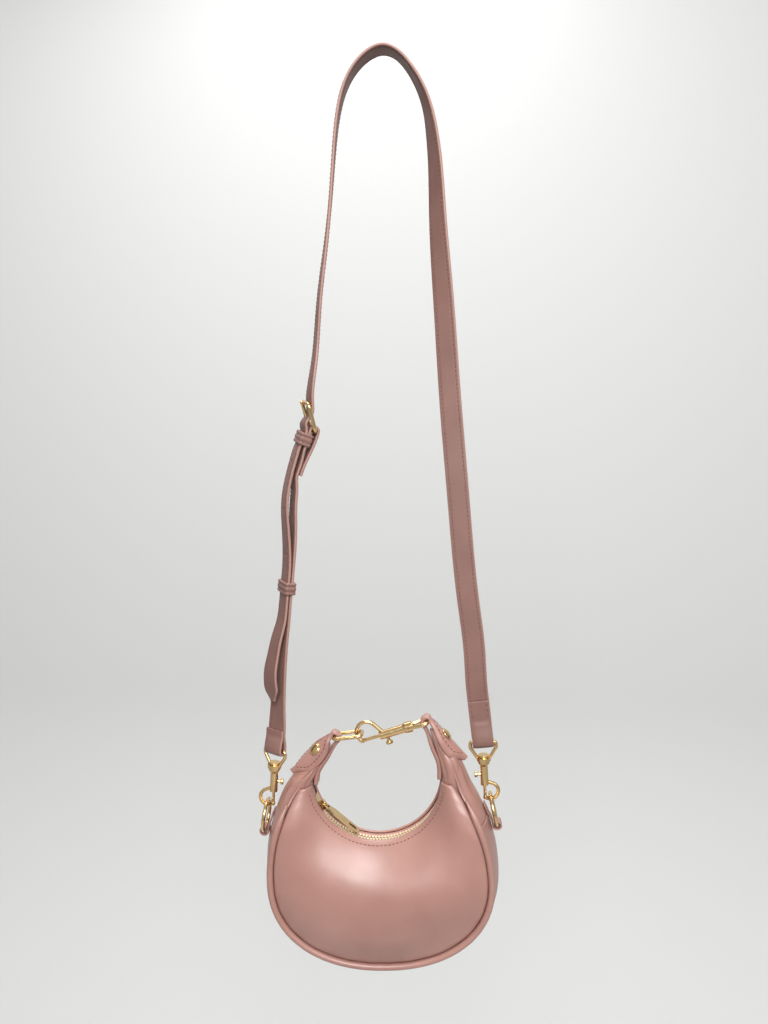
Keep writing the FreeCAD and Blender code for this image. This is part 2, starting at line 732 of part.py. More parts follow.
# ---------------------------------------------------------------- side rings and their tabs
ring_top_z = hook_level + side_hook["wire"] / 2 + ring_wire / 2 + link_clearance
ring_foot_z = ring_top_z - (ring_outer - ring_wire)
ring_fold = ring_wire / 2 + ring_tab_clearance + ring_tab_thickness
ring_foot_x = side_x(ring_foot_z) + piping_offset + gusset_bulge_side + ring_stand_off + ring_fold
hook_half_span = ring_foot_x - ring_foot_lean


def foot_of(side):
    """Bag-frame centre of the ring's lowest wire, where its leather tab holds it."""
    return Vec(side * ring_foot_x, 0, ring_foot_z)


def make_ring(side):
    foot = foot_of(side)
    top = Vec(side * hook_half_span, 0, ring_top_z)
    axis = Vec(0, 1, 0).cross(top - foot)
    return Part.makeTorus((ring_outer - ring_wire) / 2, ring_wire / 2, (top + foot) * 0.5, axis)


def make_ring_tab(side):
    """Leather tab sewn down on the gusset; its lower end is folded round the ring's foot."""
    foot = foot_of(side)
    middle = ring_wire / 2 + ring_tab_clearance + ring_tab_thickness / 2
    points = []
    for share in (1, 0.6, 0.25):
        angle = side * (gusset_seam_angle + ring_tab_rise * share)
        point, normal, half, bulge = gusset_station(angle)
        points.append(point + normal * (bulge + seam_clearance + ring_tab_thickness / 2))
    for turn in (-100, -65, -30, 5, 40, 75, 110, 145, 180, 215):
        a = math.radians(turn)
        points.append(foot + Vec(side * math.sin(a), 0, -math.cos(a)) * middle)
    return bent_strip(points, ring_tab_thickness, ring_tab_width, Vec(0, 1, 0))


# ---------------------------------------------------------------- strap
# twist of the strap about its own line, as (height, degrees); 0 is edge-on to the front
left_twist = [(1.2, 0), (-97, 9), (-130, 14), (-206, 20), (-232, 25), (-300, 25), (-352, 31), (-388, 31),
              (-420, 40), (-463, 56), (-480, 62)]
right_twist = [(1.2, 0), (-52, 26), (-75, 35), (-165, 65), (-300, 90), (-480, 90)]


def twist_at(table, height):
    for (high, a), (low, b) in zip(table, table[1:]):
        if height >= low:
            return a + (b - a) * max(0.0, min(1.0, (high - height) / (high - low)))
    return table[-1][1]


def across_at(twist):
    """Direction of the strap's width on the left-hand side."""
    turn = math.radians(twist)
    return Vec(-math.sin(turn), math.cos(turn), 0)


def outward_at(twist):
    """Direction of the strap's outer face on the left-hand side."""
    turn = math.radians(twist)
    return Vec(-math.cos(turn), -math.sin(turn), 0)


def ribbon(points, width=None, tools=(), steps=3, span=6):
    """Flat strap through a chain of points, twisted by height; its width may change on the way.

    It comes as a list of short spans that share their end faces."""
    curve = Part.BSplineCurve()
    curve.interpolate(points)
    marks = [curve.parameter(p) for p in points]
    stations = []
    for low, high in zip(marks, marks[1:]):
        stations += [low + (high - low) * k / steps for k in range(steps)]
    stations.append(marks[-1])
    wires = []
    for u in stations:
        point = curve.value(u)
        run = Vec(*curve.tangent(u)[0]).normalize()
        across = across_at(twist_at(right_twist if point.x > 0 else left_twist, point.z))
        across = (across - run * across.dot(run)).normalize()
        a = across * ((width(point) if width else strap_width) / 2)
        b = run.cross(across) * (strap_thickness / 2)
        corners = [point - a - b, point + a - b, point + a + b, point - a + b]
        wires.append(Part.makePolygon(corners + [corners[0]]))
    pieces = []
    for first in range(0, len(wires) - 1, span):
        piece = loft(wires[first:first + span + 1])
        for tool in tools:
            if tool.BoundBox.intersect(piece.BoundBox):
                piece = piece.cut(tool)
        pieces.append(piece)
    return pieces


def hook_place(side):
    """Placement of a side snap hook: its eye bar's centre, leaning in line with the strap's pull."""
    foot = bag.multVec(Vec(side * hook_half_span, 0, hook_level))
    lean = FreeCAD.Rotation(Vec(0, 1, 0), -side * hook_lean)
    face = FreeCAD.Rotation(up, 0 if side > 0 else 180)
    turn = lean.multiply(face)
    below = turn.multVec(Vec(side_hook["loop_offset"], 0, side_levels.bottom))
    return FreeCAD.Placement(foot - below, turn)


def folded_end(bar, bar_radius, run, front, length, sewn_from):
    """Strap end doubled round a bar; the cut end lies on the front side, the strap goes on behind.

    Returns the solid and the middle of the strap's thickness where it goes on."""
    n = (front - run * front.dot(run)).normalize()
    across = run.cross(n).normalize()
    inner = bar_radius + layer_gap
    outer = inner + strap_thickness
    face = fold_gap + strap_thickness

    def at(depth, along):
        return bar + n * depth + run * along - across * (strap_width / 2)

    path = [at(face, length), at(face, sewn_from), at(outer, 0), at(-outer, 0), at(-face, sewn_from),
            at(-face, length), at(-fold_gap, length), at(-fold_gap, sewn_from), at(-inner, 0), at(inner, 0),
            at(fold_gap, sewn_from), at(fold_gap, length)]
    edges = []
    for i, here in enumerate(path):
        there = path[(i + 1) % len(path)]
        if i == 2:
            edges.append(Part.Arc(here, at(0, -outer), there).toShape())
        elif i == 8:
            edges.append(Part.Arc(here, at(0, -inner), there).toShape())
        else:
            edges.append(Part.makeLine(here, there))
    solid = Part.Face(Part.Wire(edges)).extrude(across * strap_width)
    return solid, bar + run * length - n * (fold_gap + strap_thickness / 2)


# ---------------------------------------------------------------- buckle and strap run on the left
heel_bar = Vec(-50.6, 0, -255.4)                      # the short strap is folded round it
short_run = (Vec(-63.3, 0, -290.0) - heel_bar).normalize()
buckle_across = across_at(twist_at(left_twist, -240))
buckle_across = (buckle_across - short_run * buckle_across.dot(short_run)).normalize()
buckle_lean = Vec(-5.9, 0, 19.5)                      # from the heel bar up to the far bar
buckle_lean = (buckle_lean - buckle_across * buckle_lean.dot(buckle_across)).normalize()
buckle_out = buckle_across.cross(buckle_lean) * -1
buckle_out = buckle_out if buckle_out.x < 0 else buckle_out * -1
far_bar = heel_bar + buckle_lean * buckle_pitch
short_out = buckle_across.cross(short_run)
short_out = short_out if short_out.x < 0 else short_out * -1
tail_out = buckle_wire / 2 + 1.5 * strap_thickness + 2 * layer_gap + 0.3
slide_clear = buckle_wire / 2 + strap_thickness / 2 + 2 * layer_gap

short_line = [(-63.9, -296), (-64.8, -308), (-65.3, -325), (-66.7, -345), (-67.9, -357), (-69.1, -369),
              (-70.3, -381), (-71.5, -393), (-73.6, -408), (-76.3, -432)]
tail_layers = [2.3, 2.0, 1.25, 1.0, 1.0, 1.0, 1.15, 2.0]


def beside(x, z, layers):
    """Point on the outer side of the short strap's line, whole layers of strap away from it."""
    return Vec(x, 0, z) + outward_at(twist_at(left_twist, z)) * (layers * (strap_thickness + layer_gap))


def by_heel(along, out):
    return heel_bar + short_run * along + short_out * out


def left_run():
    """Middle line of the long strap down the left: through the buckle, then the loose tail."""
    upper = [Vec(-18.6, 0, -9.8), Vec(-25.8, 0, -21.8), Vec(-30.4, 0, -37.5), Vec(-33.7, 0, -63),
             Vec(-36.6, 0, -97), Vec(-40.4, 0, -130), Vec(-44.9, 0, -165), Vec(-48.6, 0, -206)]
    inner = far_bar - buckle_out * slide_clear
    through = [inner + Vec(1.2, 0, 12), inner + Vec(0.3, 0, 3), inner - buckle_lean * 1.5,
               heel_bar + buckle_lean * (0.56 * buckle_pitch) - buckle_out * 0.6,
               heel_bar + buckle_lean * 5.5 + buckle_out * (tail_out - 0.9),
               by_heel(1, tail_out), by_heel(12, tail_out), by_heel(22, tail_out)]
    tail = [beside(x, z, n) for (x, z), n in zip(short_line[1:], tail_layers)]
    free = [Vec(-80.4, -4.4, -420), Vec(-82.4, -5.4, -433), Vec(-81.9, -5.2, -444)]
    free.append(Vec(-80.6, -4.6, -453.4))
    return upper, through + tail + free


def tail_width(point):
    """Full width, drawn in to a blunt point over the tail's last stretch."""
    if point.x > 0:
        return strap_width
    return strap_width * (1 - 0.72 * ease((-441 - point.z) / 13) ** 1.5)


def tongue_ends():
    rest = buckle_wire / 2 + tongue_diameter / 2 + 2 * metal_clearance
    return heel_bar, far_bar + buckle_out * rest + buckle_lean * 1.2


def tongue_hole():
    """Punched slot that the buckle's tongue goes through."""
    foot, tip = tongue_ends()
    run = (tip - foot).normalize()
    side = run.cross(buckle_across)
    corner = Vec(-hole_diameter / 2, -6, -1.5 * hole_diameter)
    box = Part.makeBox(hole_diameter, 12, 3 * hole_diameter, corner)
    turn = FreeCAD.Rotation(buckle_across, side, run, "ZYX")
    return placed(box, FreeCAD.Placement(foot + run * (0.48 * buckle_pitch), turn))


def punches(curve_points):
    """Round holes along the left of the strap, either side of the tongue's hole."""
    line = Part.BSplineCurve()
    line.interpolate(curve_points)
    tools = [tongue_hole()]
    for count in (-2, -1, 1, 2, 3):
        z = heel_bar.z + first_hole_below - count * hole_pitch
        low, high = line.FirstParameter, line.LastParameter
        for _ in range(40):
            middle = (low + high) / 2
            low, high = (middle, high) if line.value(middle).z > z else (low, middle)
        point = line.value(low)
        run = Vec(*line.tangent(low)[0]).normalize()
        pierce = run.cross(across_at(twist_at(left_twist, z))).normalize()
        tools.append(Part.makeCylinder(hole_diameter / 2, 8, point - pierce * 4, pierce))
    return tools


def make_strap_long():
    """From the right snap hook over the top, down through the buckle, and its loose tail."""
    spot = hook_place(1)
    lean = FreeCAD.Rotation(Vec(0, 1, 0), -strap_lean)
    run = lean.multVec(spot.Rotation.multVec(up))
    bar_radius = side_hook["wire"] / 2 + eye_slack
    end, start = folded_end(spot.Base, bar_radius, run, Vec(0, -1, 0), strap_flap, 13)
    right = [start - run * 1.0, start + run * 8, Vec(66.2, 0.9, -414), Vec(61.3, 0.3, -377),
             Vec(53.8, 0, -305), Vec(47.3, 0, -234), Vec(41.8, 0, -162), Vec(37.6, 0, -108),
             Vec(35.3, 0, -70), Vec(33.1, 0, -52), Vec(29.8, 0, -36), Vec(24.3, 0, -22), Vec(16.6, 0, -9.8)]
    top = [Vec(8.5, 0, -1.8), Vec(0, 0, strap_thickness / 2), Vec(-9.5, 0, -1.8)]
    upper, lower = left_run()
    line = right + top + upper + lower
    return end.fuse(ribbon(line, tail_width, punches(upper + lower))).removeSplitter()


def make_strap_short():
    """From the buckle's heel bar down to the left snap hook, doubled round both."""
    top, start = folded_end(heel_bar, buckle_wire / 2, short_run, short_out * -1, heel_flap, heel_sewn_from)
    room = tongue_roll + 2 * layer_gap
    slot = Part.makeBox(room, 12, 10, Vec(-room / 2, -6, -3.2))
    turn = FreeCAD.Rotation(buckle_across, Vec(0, 0, 0), short_run * -1, "ZXY")
    slot = placed(slot, FreeCAD.Placement(heel_bar, turn))
    spot = hook_place(-1)
    rise = spot.Rotation.multVec(up)
    front = outward_at(left_twist[-1][1])
    end, finish = folded_end(spot.Base, side_hook["wire"] / 2, rise, front, strap_flap * 0.5, 11)
    line = [start - short_run * 1.0] + [Vec(x, 0, z) for x, z in short_line]
    line += [finish + rise * 7, finish - rise * 1.0]
    return top.cut(slot).fuse(ribbon(line) + [end]).removeSplitter()


def make_keeper(centre, out, run, depth):
    """Leather loop round a stack of straps: its inside is depth deep, measured along out."""
    across = run.cross(out).normalize()
    width = strap_width + 2 * keeper_clearance
    wall = keeper_thickness
    turn = FreeCAD.Placement(centre, FreeCAD.Rotation(out, across, run, "ZXY"))
    outer = Part.makeBox(depth + 2 * wall, width + 2 * wall, keeper_height,
                         Vec(-depth / 2 - wall, -width / 2 - wall, -keeper_height / 2))
    corners = [e for e in outer.Edges if abs(e.tangentAt(e.FirstParameter).z) > 0.9]
    outer = outer.makeFillet(1.1, corners)
    inner = Part.makeBox(depth, width, 2 * keeper_height, Vec(-depth / 2, -width / 2, -keeper_height))
    return placed(outer.cut(inner), turn)


def make_keeper_fixed():
    """Its back wall is held between the doubled layers of the short strap."""
    face = tail_out + strap_thickness / 2 + keeper_clearance
    centre = by_heel(keeper_along, (face + keeper_thickness / 2) / 2)
    return make_keeper(centre, short_out, short_run, face - keeper_thickness / 2)


def keeper_frame():
    """Centre, outward direction and run of the sliding keeper, half way down the short strap."""
    above, place, below = (Vec(x, 0, z) for x, z in short_line[4:7])
    run = (below - above).normalize()
    out = outward_at(twist_at(left_twist, place.z))
    out = (out - run * out.dot(run)).normalize()
    return place + out * ((strap_thickness + layer_gap) / 2), out, run


def make_keeper_sliding():
    centre, out, run = keeper_frame()
    return make_keeper(centre, out, run, 2 * strap_thickness + layer_gap + 2 * keeper_clearance)


def make_buckle_frame():
    a = buckle_across * (buckle_width / 2)
    return closed_frame([heel_bar - a, heel_bar + a, far_bar + a, far_bar - a], 3.6, buckle_wire)


def make_tongue():
    """Tongue wrapped round the heel bar; its tip rests on the far bar."""
    foot, tip = tongue_ends()
    run = (tip - foot).normalize()
    near = foot - buckle_across * (tongue_roll / 2)
    barrel = Part.makeCylinder(buckle_wire / 2 + 1.1, tongue_roll, near, buckle_across)
    rod = Part.makeCylinder(tongue_diameter / 2, foot.distanceToPoint(tip), foot, run)
    cap = Part.makeSphere(tongue_diameter / 2, tip)
    bore = Part.makeCylinder(buckle_wire / 2 + bore_clearance, 8, foot - buckle_across * 4, buckle_across)
    return barrel.fuse([rod, cap]).cut(bore).removeSplitter()


# ---------------------------------------------------------------- handle chain
slope = math.radians(clasp_slope)
clasp_run = Vec(-math.cos(slope), 0, -math.sin(slope))      # from the right tab towards the left
clasp_up = Vec(-math.sin(slope), 0, math.cos(slope))
clasp_turn = FreeCAD.Rotation(clasp_up, Vec(0, -1, 0), clasp_run * -1, "ZXY")
clasp_place = FreeCAD.Placement(right_link_at, clasp_turn)


def link_far_bar():
    """Where the link's far bar hangs in the clasp's hook, in the bag frame."""
    rest = clasp_hook["wire"] / 2 + chain_wire / 2 + link_clearance
    along = clasp_run * (-clasp_levels.bottom - rest)
    return right_link_at + along + clasp_up * clasp_hook["loop_offset"]


def make_link():
    far = link_far_bar()
    half = Vec(0, (link_width - chain_wire) / 2, 0)
    corners = [left_link_at - half, left_link_at + half, far + half, far - half]
    return closed_frame(corners, 2.6, chain_wire)


# ---------------------------------------------------------------- every node
def save_bag(node, shape):
    save(node, placed(shape, bag))


save_bag("front_panel", make_panel(-1))
save_bag("back_panel", make_panel(1))
save_bag("gusset_lower", make_gusset_lower())
save_bag("front_piping", make_piping(-1))
save_bag("back_piping", make_piping(1))
save_bag("lining", make_lining())
save_bag("zip_tape_front", make_tape(-1))
save_bag("zip_tape_back", make_tape(1))
save_bag("zip_teeth_front", make_teeth(-1))
save_bag("zip_teeth_back", make_teeth(1))
save_bag("zip_stops", make_zip_stops())
save_bag("zip_slider", make_slider())
save_bag("zip_pull", make_pull())
for name, side, tab in (("left", -1, left_tab), ("right", 1, right_tab)):
    save_bag("gusset_upper_" + name, make_gusset_upper(tab))
    save_bag("handle_tab_" + name, make_tab(tab))
    save_bag("tab_stud_" + name, make_stud(tab))
    save_bag("ring_tab_" + name, make_ring_tab(side))
    save_bag("side_ring_" + name, make_ring(side))
    spot = hook_place(side)
    flat = right_twist[-1][1] if side > 0 else left_twist[-1][1]
    save("side_eye_" + name, placed(make_eye(side_hook, side_levels, 90 + flat), spot))
    save("side_rivet_" + name, placed(make_rivet(side_hook, side_levels), spot))
    save("side_hook_" + name, placed(make_hook(side_hook, side_levels), spot))
    save("side_bolt_" + name, placed(make_bolt(side_hook, side_levels), spot))
    save("side_spring_" + name, placed(make_spring(side_hook, side_levels), spot))

save_bag("chain_link", make_link())
save_bag("clasp_eye", placed(make_eye(clasp_hook, clasp_levels, 90), clasp_place))
save_bag("clasp_rivet", placed(make_rivet(clasp_hook, clasp_levels), clasp_place))
save_bag("clasp_hook", placed(make_hook(clasp_hook, clasp_levels), clasp_place))
save_bag("clasp_bolt", placed(make_bolt(clasp_hook, clasp_levels), clasp_place))
save_bag("clasp_spring", placed(make_spring(clasp_hook, clasp_levels), clasp_place))

save("strap_long", make_strap_long())
save("strap_short", make_strap_short())
save("keeper_fixed", make_keeper_fixed())
save("keeper_sliding", make_keeper_sliding())
save("buckle_frame", make_buckle_frame())
save("buckle_tongue", make_tongue())
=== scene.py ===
import json
import math
import bpy
import numpy as np
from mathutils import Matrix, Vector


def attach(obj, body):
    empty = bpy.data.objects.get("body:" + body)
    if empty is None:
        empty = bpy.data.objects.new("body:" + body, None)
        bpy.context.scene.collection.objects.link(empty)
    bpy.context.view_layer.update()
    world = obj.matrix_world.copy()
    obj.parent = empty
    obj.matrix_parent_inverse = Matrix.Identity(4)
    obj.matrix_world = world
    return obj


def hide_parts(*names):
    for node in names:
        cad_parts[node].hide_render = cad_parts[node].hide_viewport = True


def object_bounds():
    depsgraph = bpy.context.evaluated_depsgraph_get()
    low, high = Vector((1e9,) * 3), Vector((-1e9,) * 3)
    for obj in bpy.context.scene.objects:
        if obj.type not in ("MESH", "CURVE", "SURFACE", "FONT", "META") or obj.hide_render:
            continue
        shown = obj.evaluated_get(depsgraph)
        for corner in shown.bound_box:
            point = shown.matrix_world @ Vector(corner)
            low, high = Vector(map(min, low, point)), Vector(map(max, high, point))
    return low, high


# Small crescent purse in soft pink leather, hanging by its strap. Lengths here are
# millimetres until a mesh is written, which is in metres.

millimetre = 0.001
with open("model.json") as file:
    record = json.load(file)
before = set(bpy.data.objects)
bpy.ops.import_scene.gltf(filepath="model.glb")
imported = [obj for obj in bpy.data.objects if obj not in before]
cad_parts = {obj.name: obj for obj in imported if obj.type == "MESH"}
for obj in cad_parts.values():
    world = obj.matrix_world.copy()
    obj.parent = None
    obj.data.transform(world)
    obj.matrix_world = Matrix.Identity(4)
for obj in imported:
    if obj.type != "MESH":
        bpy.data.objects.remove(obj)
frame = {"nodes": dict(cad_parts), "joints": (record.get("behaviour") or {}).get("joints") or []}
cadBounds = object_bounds()
joints = {joint["name"]: joint for joint in frame["joints"]}
print("frame loaded:", len(frame["nodes"]), "nodes")


# arrays and curves

def unit(v):
    return v / np.linalg.norm(v, axis=-1, keepdims=True)


def jointPlace(name):
    return np.array(joints[name]["pos_m"]) / millimetre


def jointAxis(name):
    return unit(np.array(joints[name]["axis"]))


def ease(t):
    # from 0 to 1 with a flat start and a flat end
    t = np.clip(t, 0.0, 1.0)
    return t * t * (3 - 2 * t)


def hump(x, width):
    # a bell of height 1 at x = 0
    return np.exp(-(x / width) ** 2)


def ridges(fromEdge, shapes):
    # ridges and grooves along an edge, each with its height, distance from the edge and width
    return sum(high * hump(fromEdge - place, wide) for high, place, wide in shapes)


def squareTo(run, directions):
    # unit directions with their share along a run taken out
    return unit(directions - run * np.sum(directions * run, axis=-1, keepdims=True))


def facing(way, directions):
    # turns round each direction that points against the given way
    return directions * np.sign(np.sum(directions * way, axis=-1, keepdims=True))


def acrossShares(count):
    # even steps from -1 to 1 along the second direction of a grid of points
    return np.linspace(-1, 1, count)[None, :, None]


def fullTurn(count):
    # even angles round a circle, along the second direction of a grid of points
    return np.linspace(0, 2 * np.pi, count, endpoint=False)[None, :, None]


def runAlong(points):
    # distance gone along a chain of points
    return np.concatenate([[0.0], np.cumsum(np.linalg.norm(np.diff(points, axis=0), axis=1))])


def splineThrough(marks, values, at):
    # natural cubic spline: the second derivatives come from one linear solve, and each span is
    # then the cubic with those second derivatives at its ends
    flat = values.reshape(len(marks), -1)
    step = np.diff(marks)
    system = np.eye(len(marks))
    inner = np.arange(1, len(marks) - 1)
    system[inner, inner - 1] = step[:-1]
    system[inner, inner] = 2 * (step[:-1] + step[1:])
    system[inner, inner + 1] = step[1:]
    slope = np.diff(flat, axis=0) / step[:, None]
    right = np.zeros_like(flat)
    right[1:-1] = 6 * (slope[1:] - slope[:-1])
    bend = np.linalg.solve(system, right)
    span = np.clip(np.searchsorted(marks, at, side="right") - 1, 0, len(step) - 1)
    t = (at - marks[span])[:, None]
    h = step[span][:, None]
    low, high = flat[span], flat[span + 1]
    bendLow, bendHigh = bend[span], bend[span + 1]
    out = low + t * ((high - low) / h - h * (2 * bendLow + bendHigh) / 6)
    out = out + t ** 2 * bendLow / 2 + t ** 3 * (bendHigh - bendLow) / (6 * h)
    return out.reshape((len(at),) + values.shape[1:])


def evenSplines(count, path, *columns):
    # splines through a path's points and through what goes with them, at even steps along it
    marks = runAlong(path)
    at = np.linspace(0, marks[-1], count)
    return at, *[splineThrough(marks, column, at) for column in (path, *columns)]


def tangents(points):
    return unit(np.gradient(points, axis=0))


def sameWay(directions):
    # flips directions where needed so that none turns back on the one before it
    flips = np.where(np.sum(directions[1:] * directions[:-1], axis=1) < 0, -1.0, 1.0)
    return directions * np.concatenate([[1.0], np.cumprod(flips)])[:, None]


# meshes

def addObject(name, data):
    thing = bpy.data.objects.new(name, data)
    bpy.context.scene.collection.objects.link(thing)
    return thing


def addMesh(name, points, groups, smooth=True):
    # the faces come as arrays, one for each group of faces with the same number of corners
    mesh = bpy.data.meshes.new(name)
    mesh.from_pydata((np.reshape(points, (-1, 3)) * millimetre).tolist(), [],
                     [corners for faces in groups for corners in faces.tolist()])
    mesh.polygons.foreach_set("use_smooth", np.full(len(mesh.polygons), smooth))
    return mesh


def makePiece(name, points, groups, material, body, uvs=(), shade=None, standsFor=(), slotName=None):
    # writes one mesh, turned outside out, and lets it ride on its body
    points = np.reshape(points, (-1, 3))
    triangles = np.concatenate([f[:, [0, k, k + 1]] for f in groups for k in range(1, f.shape[1] - 1)])
    a, b, c = np.moveaxis(points[triangles], 1, 0)
    if np.sum(a * np.cross(b, c)) < 0:
        groups, uvs = [f[:, ::-1] for f in groups], [u[:, ::-1] for u in uvs]
    mesh = addMesh(name, points, groups)
    if len(uvs):
        flat = np.concatenate([u.reshape(-1, 2) for u in uvs]) * millimetre
        mesh.uv_layers.new(name="UVMap").data.foreach_set("uv", flat.astype(np.float32).ravel())
    if shade is not None:
        attribute = mesh.attributes.new("shade", "FLOAT", "POINT")
        attribute.data.foreach_set("value", np.asarray(shade, np.float32).ravel())
    mesh.update()
    mesh.materials.append(material)
    piece = addObject(name, mesh)
    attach(piece, body)
    if standsFor:
        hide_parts(*standsFor)
    return piece


def loftFaces(count, around, looped=False):
    # quads between each ring and the next one; open ends are filled with strips from one side
    # of the ring to the other, so point k of a ring faces point (around - k)
    i = np.arange(count if looped else count - 1)[:, None]
    j = np.arange(around)[None, :]
    here, there = i * around, ((i + 1) % count) * around
    side = (j + 1) % around
    groups = [np.stack([here + j, here + side, there + side, there + j], -1).reshape(-1, 4)]
    if not looped:
        half = around // 2
        k = np.arange(1, half - 1)
        strip = np.stack([k, k + 1, around - k - 1, around - k], -1)
        tips = np.array([[0, 1, around - 1], [half - 1, half, half + 1]])
        last = (count - 1) * around
        groups += [strip[:, ::-1], strip + last, tips[:, ::-1], tips + last]
    return groups


def loftUvs(rings, groups, looped):
    # U is the distance along the middle of the rings, V the distance round the widest ring
    count, around = rings.shape[:2]
    middle = rings.mean(axis=1)
    along = runAlong(middle)
    along = np.append(along, along[-1] + along[1])
    widest = rings[np.argmax(np.linalg.norm(rings - middle[:, None], axis=2).sum(axis=1))]
    girth = runAlong(np.vstack([widest, widest[:1]]))
    rows = count if looped else count - 1
    u0, u1, v0, v1 = np.broadcast_arrays(along[:rows, None], along[1:rows + 1, None], girth[:-1], girth[1:])
    quads = [np.stack(pair, -1) for pair in ((u0, v0), (u0, v1), (u1, v1), (u1, v0))]
    ends = [np.stack([along[faces // around], girth[faces % around]], -1) for faces in groups[1:]]
    return [np.stack(quads, 2).reshape(-1, 4, 2)] + ends


def loftPiece(name, rings, material, body, looped=False, **finish):
    groups = loftFaces(*rings.shape[:2], looped)
    return makePiece(name, rings, groups, material, body, loftUvs(rings, groups, looped), **finish)


def sheetRings(outer, inner):
    # closes two faces of a bent sheet into rings: the outer face, a half-round edge, the inner
    # face backwards and the other half-round edge; each ring starts in the middle of that edge
    def edge(top, bottom, ahead):
        centre, up = (top + bottom) / 2, (top - bottom) / 2
        out = unit(ahead) * np.linalg.norm(up, axis=-1, keepdims=True)
        return np.stack([centre + up * math.cos(a) + out * math.sin(a) for a in np.radians([45, 90, 135])], 1)
    far = edge(outer[:, -1], inner[:, -1], outer[:, -1] - outer[:, -2])
    near = edge(inner[:, 0], outer[:, 0], outer[:, 0] - outer[:, 1])
    return np.concatenate([near[:, 1:], outer, far, inner[:, ::-1], near[:, :1]], axis=1)


def faceShade(rings, values):
    # shade on the outer face of a sheet alone, without its edges and its inner face
    shade = np.zeros(rings.shape[:2])
    shade[:, 2:2 + values.shape[-1]] = values
    return shade


def edgeMix(rings, strength):
    # the same mix towards the leather's edge colour along both half-round edges of a sheet, which hold three
    # points each
    across = (rings.shape[1] - 6) // 2
    shade = np.zeros(rings.shape[:2])
    shade[:, :2] = shade[:, -1:] = shade[:, 2 + across:5 + across] = strength
    return shade


def tubeRings(path, sideways, radius, around):
    # circles square to a path; sideways gives the direction of the first point of each circle
    ahead = tangents(path)
    first = squareTo(ahead, sideways)
    second = np.cross(ahead, first)
    turn = fullTurn(around)
    radius = np.broadcast_to(radius, len(path))[:, None, None]
    return path[:, None] + radius * (np.cos(turn) * first[:, None] + np.sin(turn) * second[:, None])


# materials

def setSockets(tree, node, sockets):
    # each socket gets a value, or a link where that value is another node's output
    for name, value in sockets.items():
        if isinstance(value, bpy.types.NodeSocket):
            tree.links.new(value, node.inputs[name])
        else:
            node.inputs[name].default_value = value


def addNode(tree, kind, sockets={}, **settings):
    node = tree.nodes.new("ShaderNode" + kind)
    for name, value in settings.items():
        setattr(node, name, value)
    setSockets(tree, node, sockets)
    return node


def newMaterial(name, color, roughness, metallic=0.0, coat=0.0, sheen=0.0):
    material = bpy.data.materials.new(name)
    material.use_nodes = True
    tree = material.node_tree
    shader = tree.nodes["Principled BSDF"]
    setSockets(tree, shader, {"Base Color": (*color, 1), "Roughness": roughness, "Metallic": metallic,
                              "Coat Weight": coat, "Coat Roughness": 0.25, "Sheen Weight": sheen})
    return material, tree, shader


def addNoise(tree, scale, detail, stretch=None):
    # cloudy noise in metres of the object, optionally stretched along an axis
    place = addNode(tree, "TexCoord").outputs["Object"]
    if stretch:
        place = addNode(tree, "Mapping", {"Vector": place, "Scale": stretch}).outputs["Vector"]
    return addNode(tree, "TexNoise", {"Vector": place, "Scale": scale, "Detail": detail}).outputs["Fac"]


def addRange(tree, value, low, high, fromLow=0.3, fromHigh=0.7):
    return addNode(tree, "MapRange", {"Value": value, "From Min": fromLow, "From Max": fromHigh,
                                      "To Min": low, "To Max": high}).outputs["Result"]


def addMix(tree, factor, low, high):
    # colour between two colours or outputs; 6, 7 and 2 are the colour sockets of a Mix node
    low, high = ((*color, 1) if isinstance(color, tuple) else color for color in (low, high))
    return addNode(tree, "Mix", {0: factor, 6: low, 7: high}, data_type="RGBA").outputs[2]


def addBump(tree, height, distance, strength, **below):
    sockets = {"Height": height, "Distance": distance, "Strength": strength, **below}
    return addNode(tree, "Bump", sockets).outputs["Normal"]


leatherLook = {
    "pink": (0.410, 0.215, 0.177),        # middle of the skin, linear
    "flush": (0.335, 0.168, 0.136),       # where it is stretched or rubbed
    "shadeAndEdgeColor": (0.20, 0.084, 0.066),       # painted shade in seams and folds
    "shadeFactor": 1.0,                          # how much of the pink and the flush shows; below 1 it is painted shade
    "roughness": (0.36, 0.46), "coat": 0.3,
    "cloudScale": 22, "smearScale": 55,   # blotches of colour and of gloss, per metre
    # pores and faint wrinkles: how many per metre, height in metres, strength
    "pores": (1500, 0.00008, 0.22), "wrinkles": (120, 0.0006, 0.12),
}
# the straps: the same pink, darkened all over as painted shade because they take less light, with a lighter
# colour along their edges
strapLook = dict(leatherLook, shadeAndEdgeColor=(0.38, 0.215, 0.178), shadeFactor=0.58, roughness=(0.5, 0.6), coat=0.02,
                 cloudScale=30)


def makeLeather(name, look):
    # smooth coated leather: cloudy colour, fine pores, faint wrinkles, painted shade in seams and folds, and
    # a lighter colour along strap edges
    pink, flush = (tuple(look["shadeFactor"] * np.array(look[tone])) for tone in ("pink", "flush"))
    material, tree, shader = newMaterial(name, pink, look["roughness"][0], coat=look["coat"])
    skin = addMix(tree, addRange(tree, addNoise(tree, look["cloudScale"], 4), 0, 1, 0.35, 0.75), pink, flush)
    # the "shade" attribute mixes in painted shade in the bag's seams and folds, and the straps' lighter edge
    # colour
    shadeAndEdgeMask = addNode(tree, "Attribute", attribute_name="shade").outputs["Fac"]
    place = addNode(tree, "TexCoord").outputs["Object"]
    scale, high, strength = look["pores"]
    cells = addNode(tree, "TexVoronoi", {"Vector": place, "Scale": scale}).outputs["Distance"]
    pores = addBump(tree, cells, high, strength)
    scale, high, strength = look["wrinkles"]
    setSockets(tree, shader, {
        "Base Color": addMix(tree, shadeAndEdgeMask, skin, look["shadeAndEdgeColor"]),
        "Roughness": addRange(tree, addNoise(tree, look["smearScale"], 2), *look["roughness"]),
        "Normal": addBump(tree, addNoise(tree, scale, 3), high, strength, Normal=pores)})
    return material


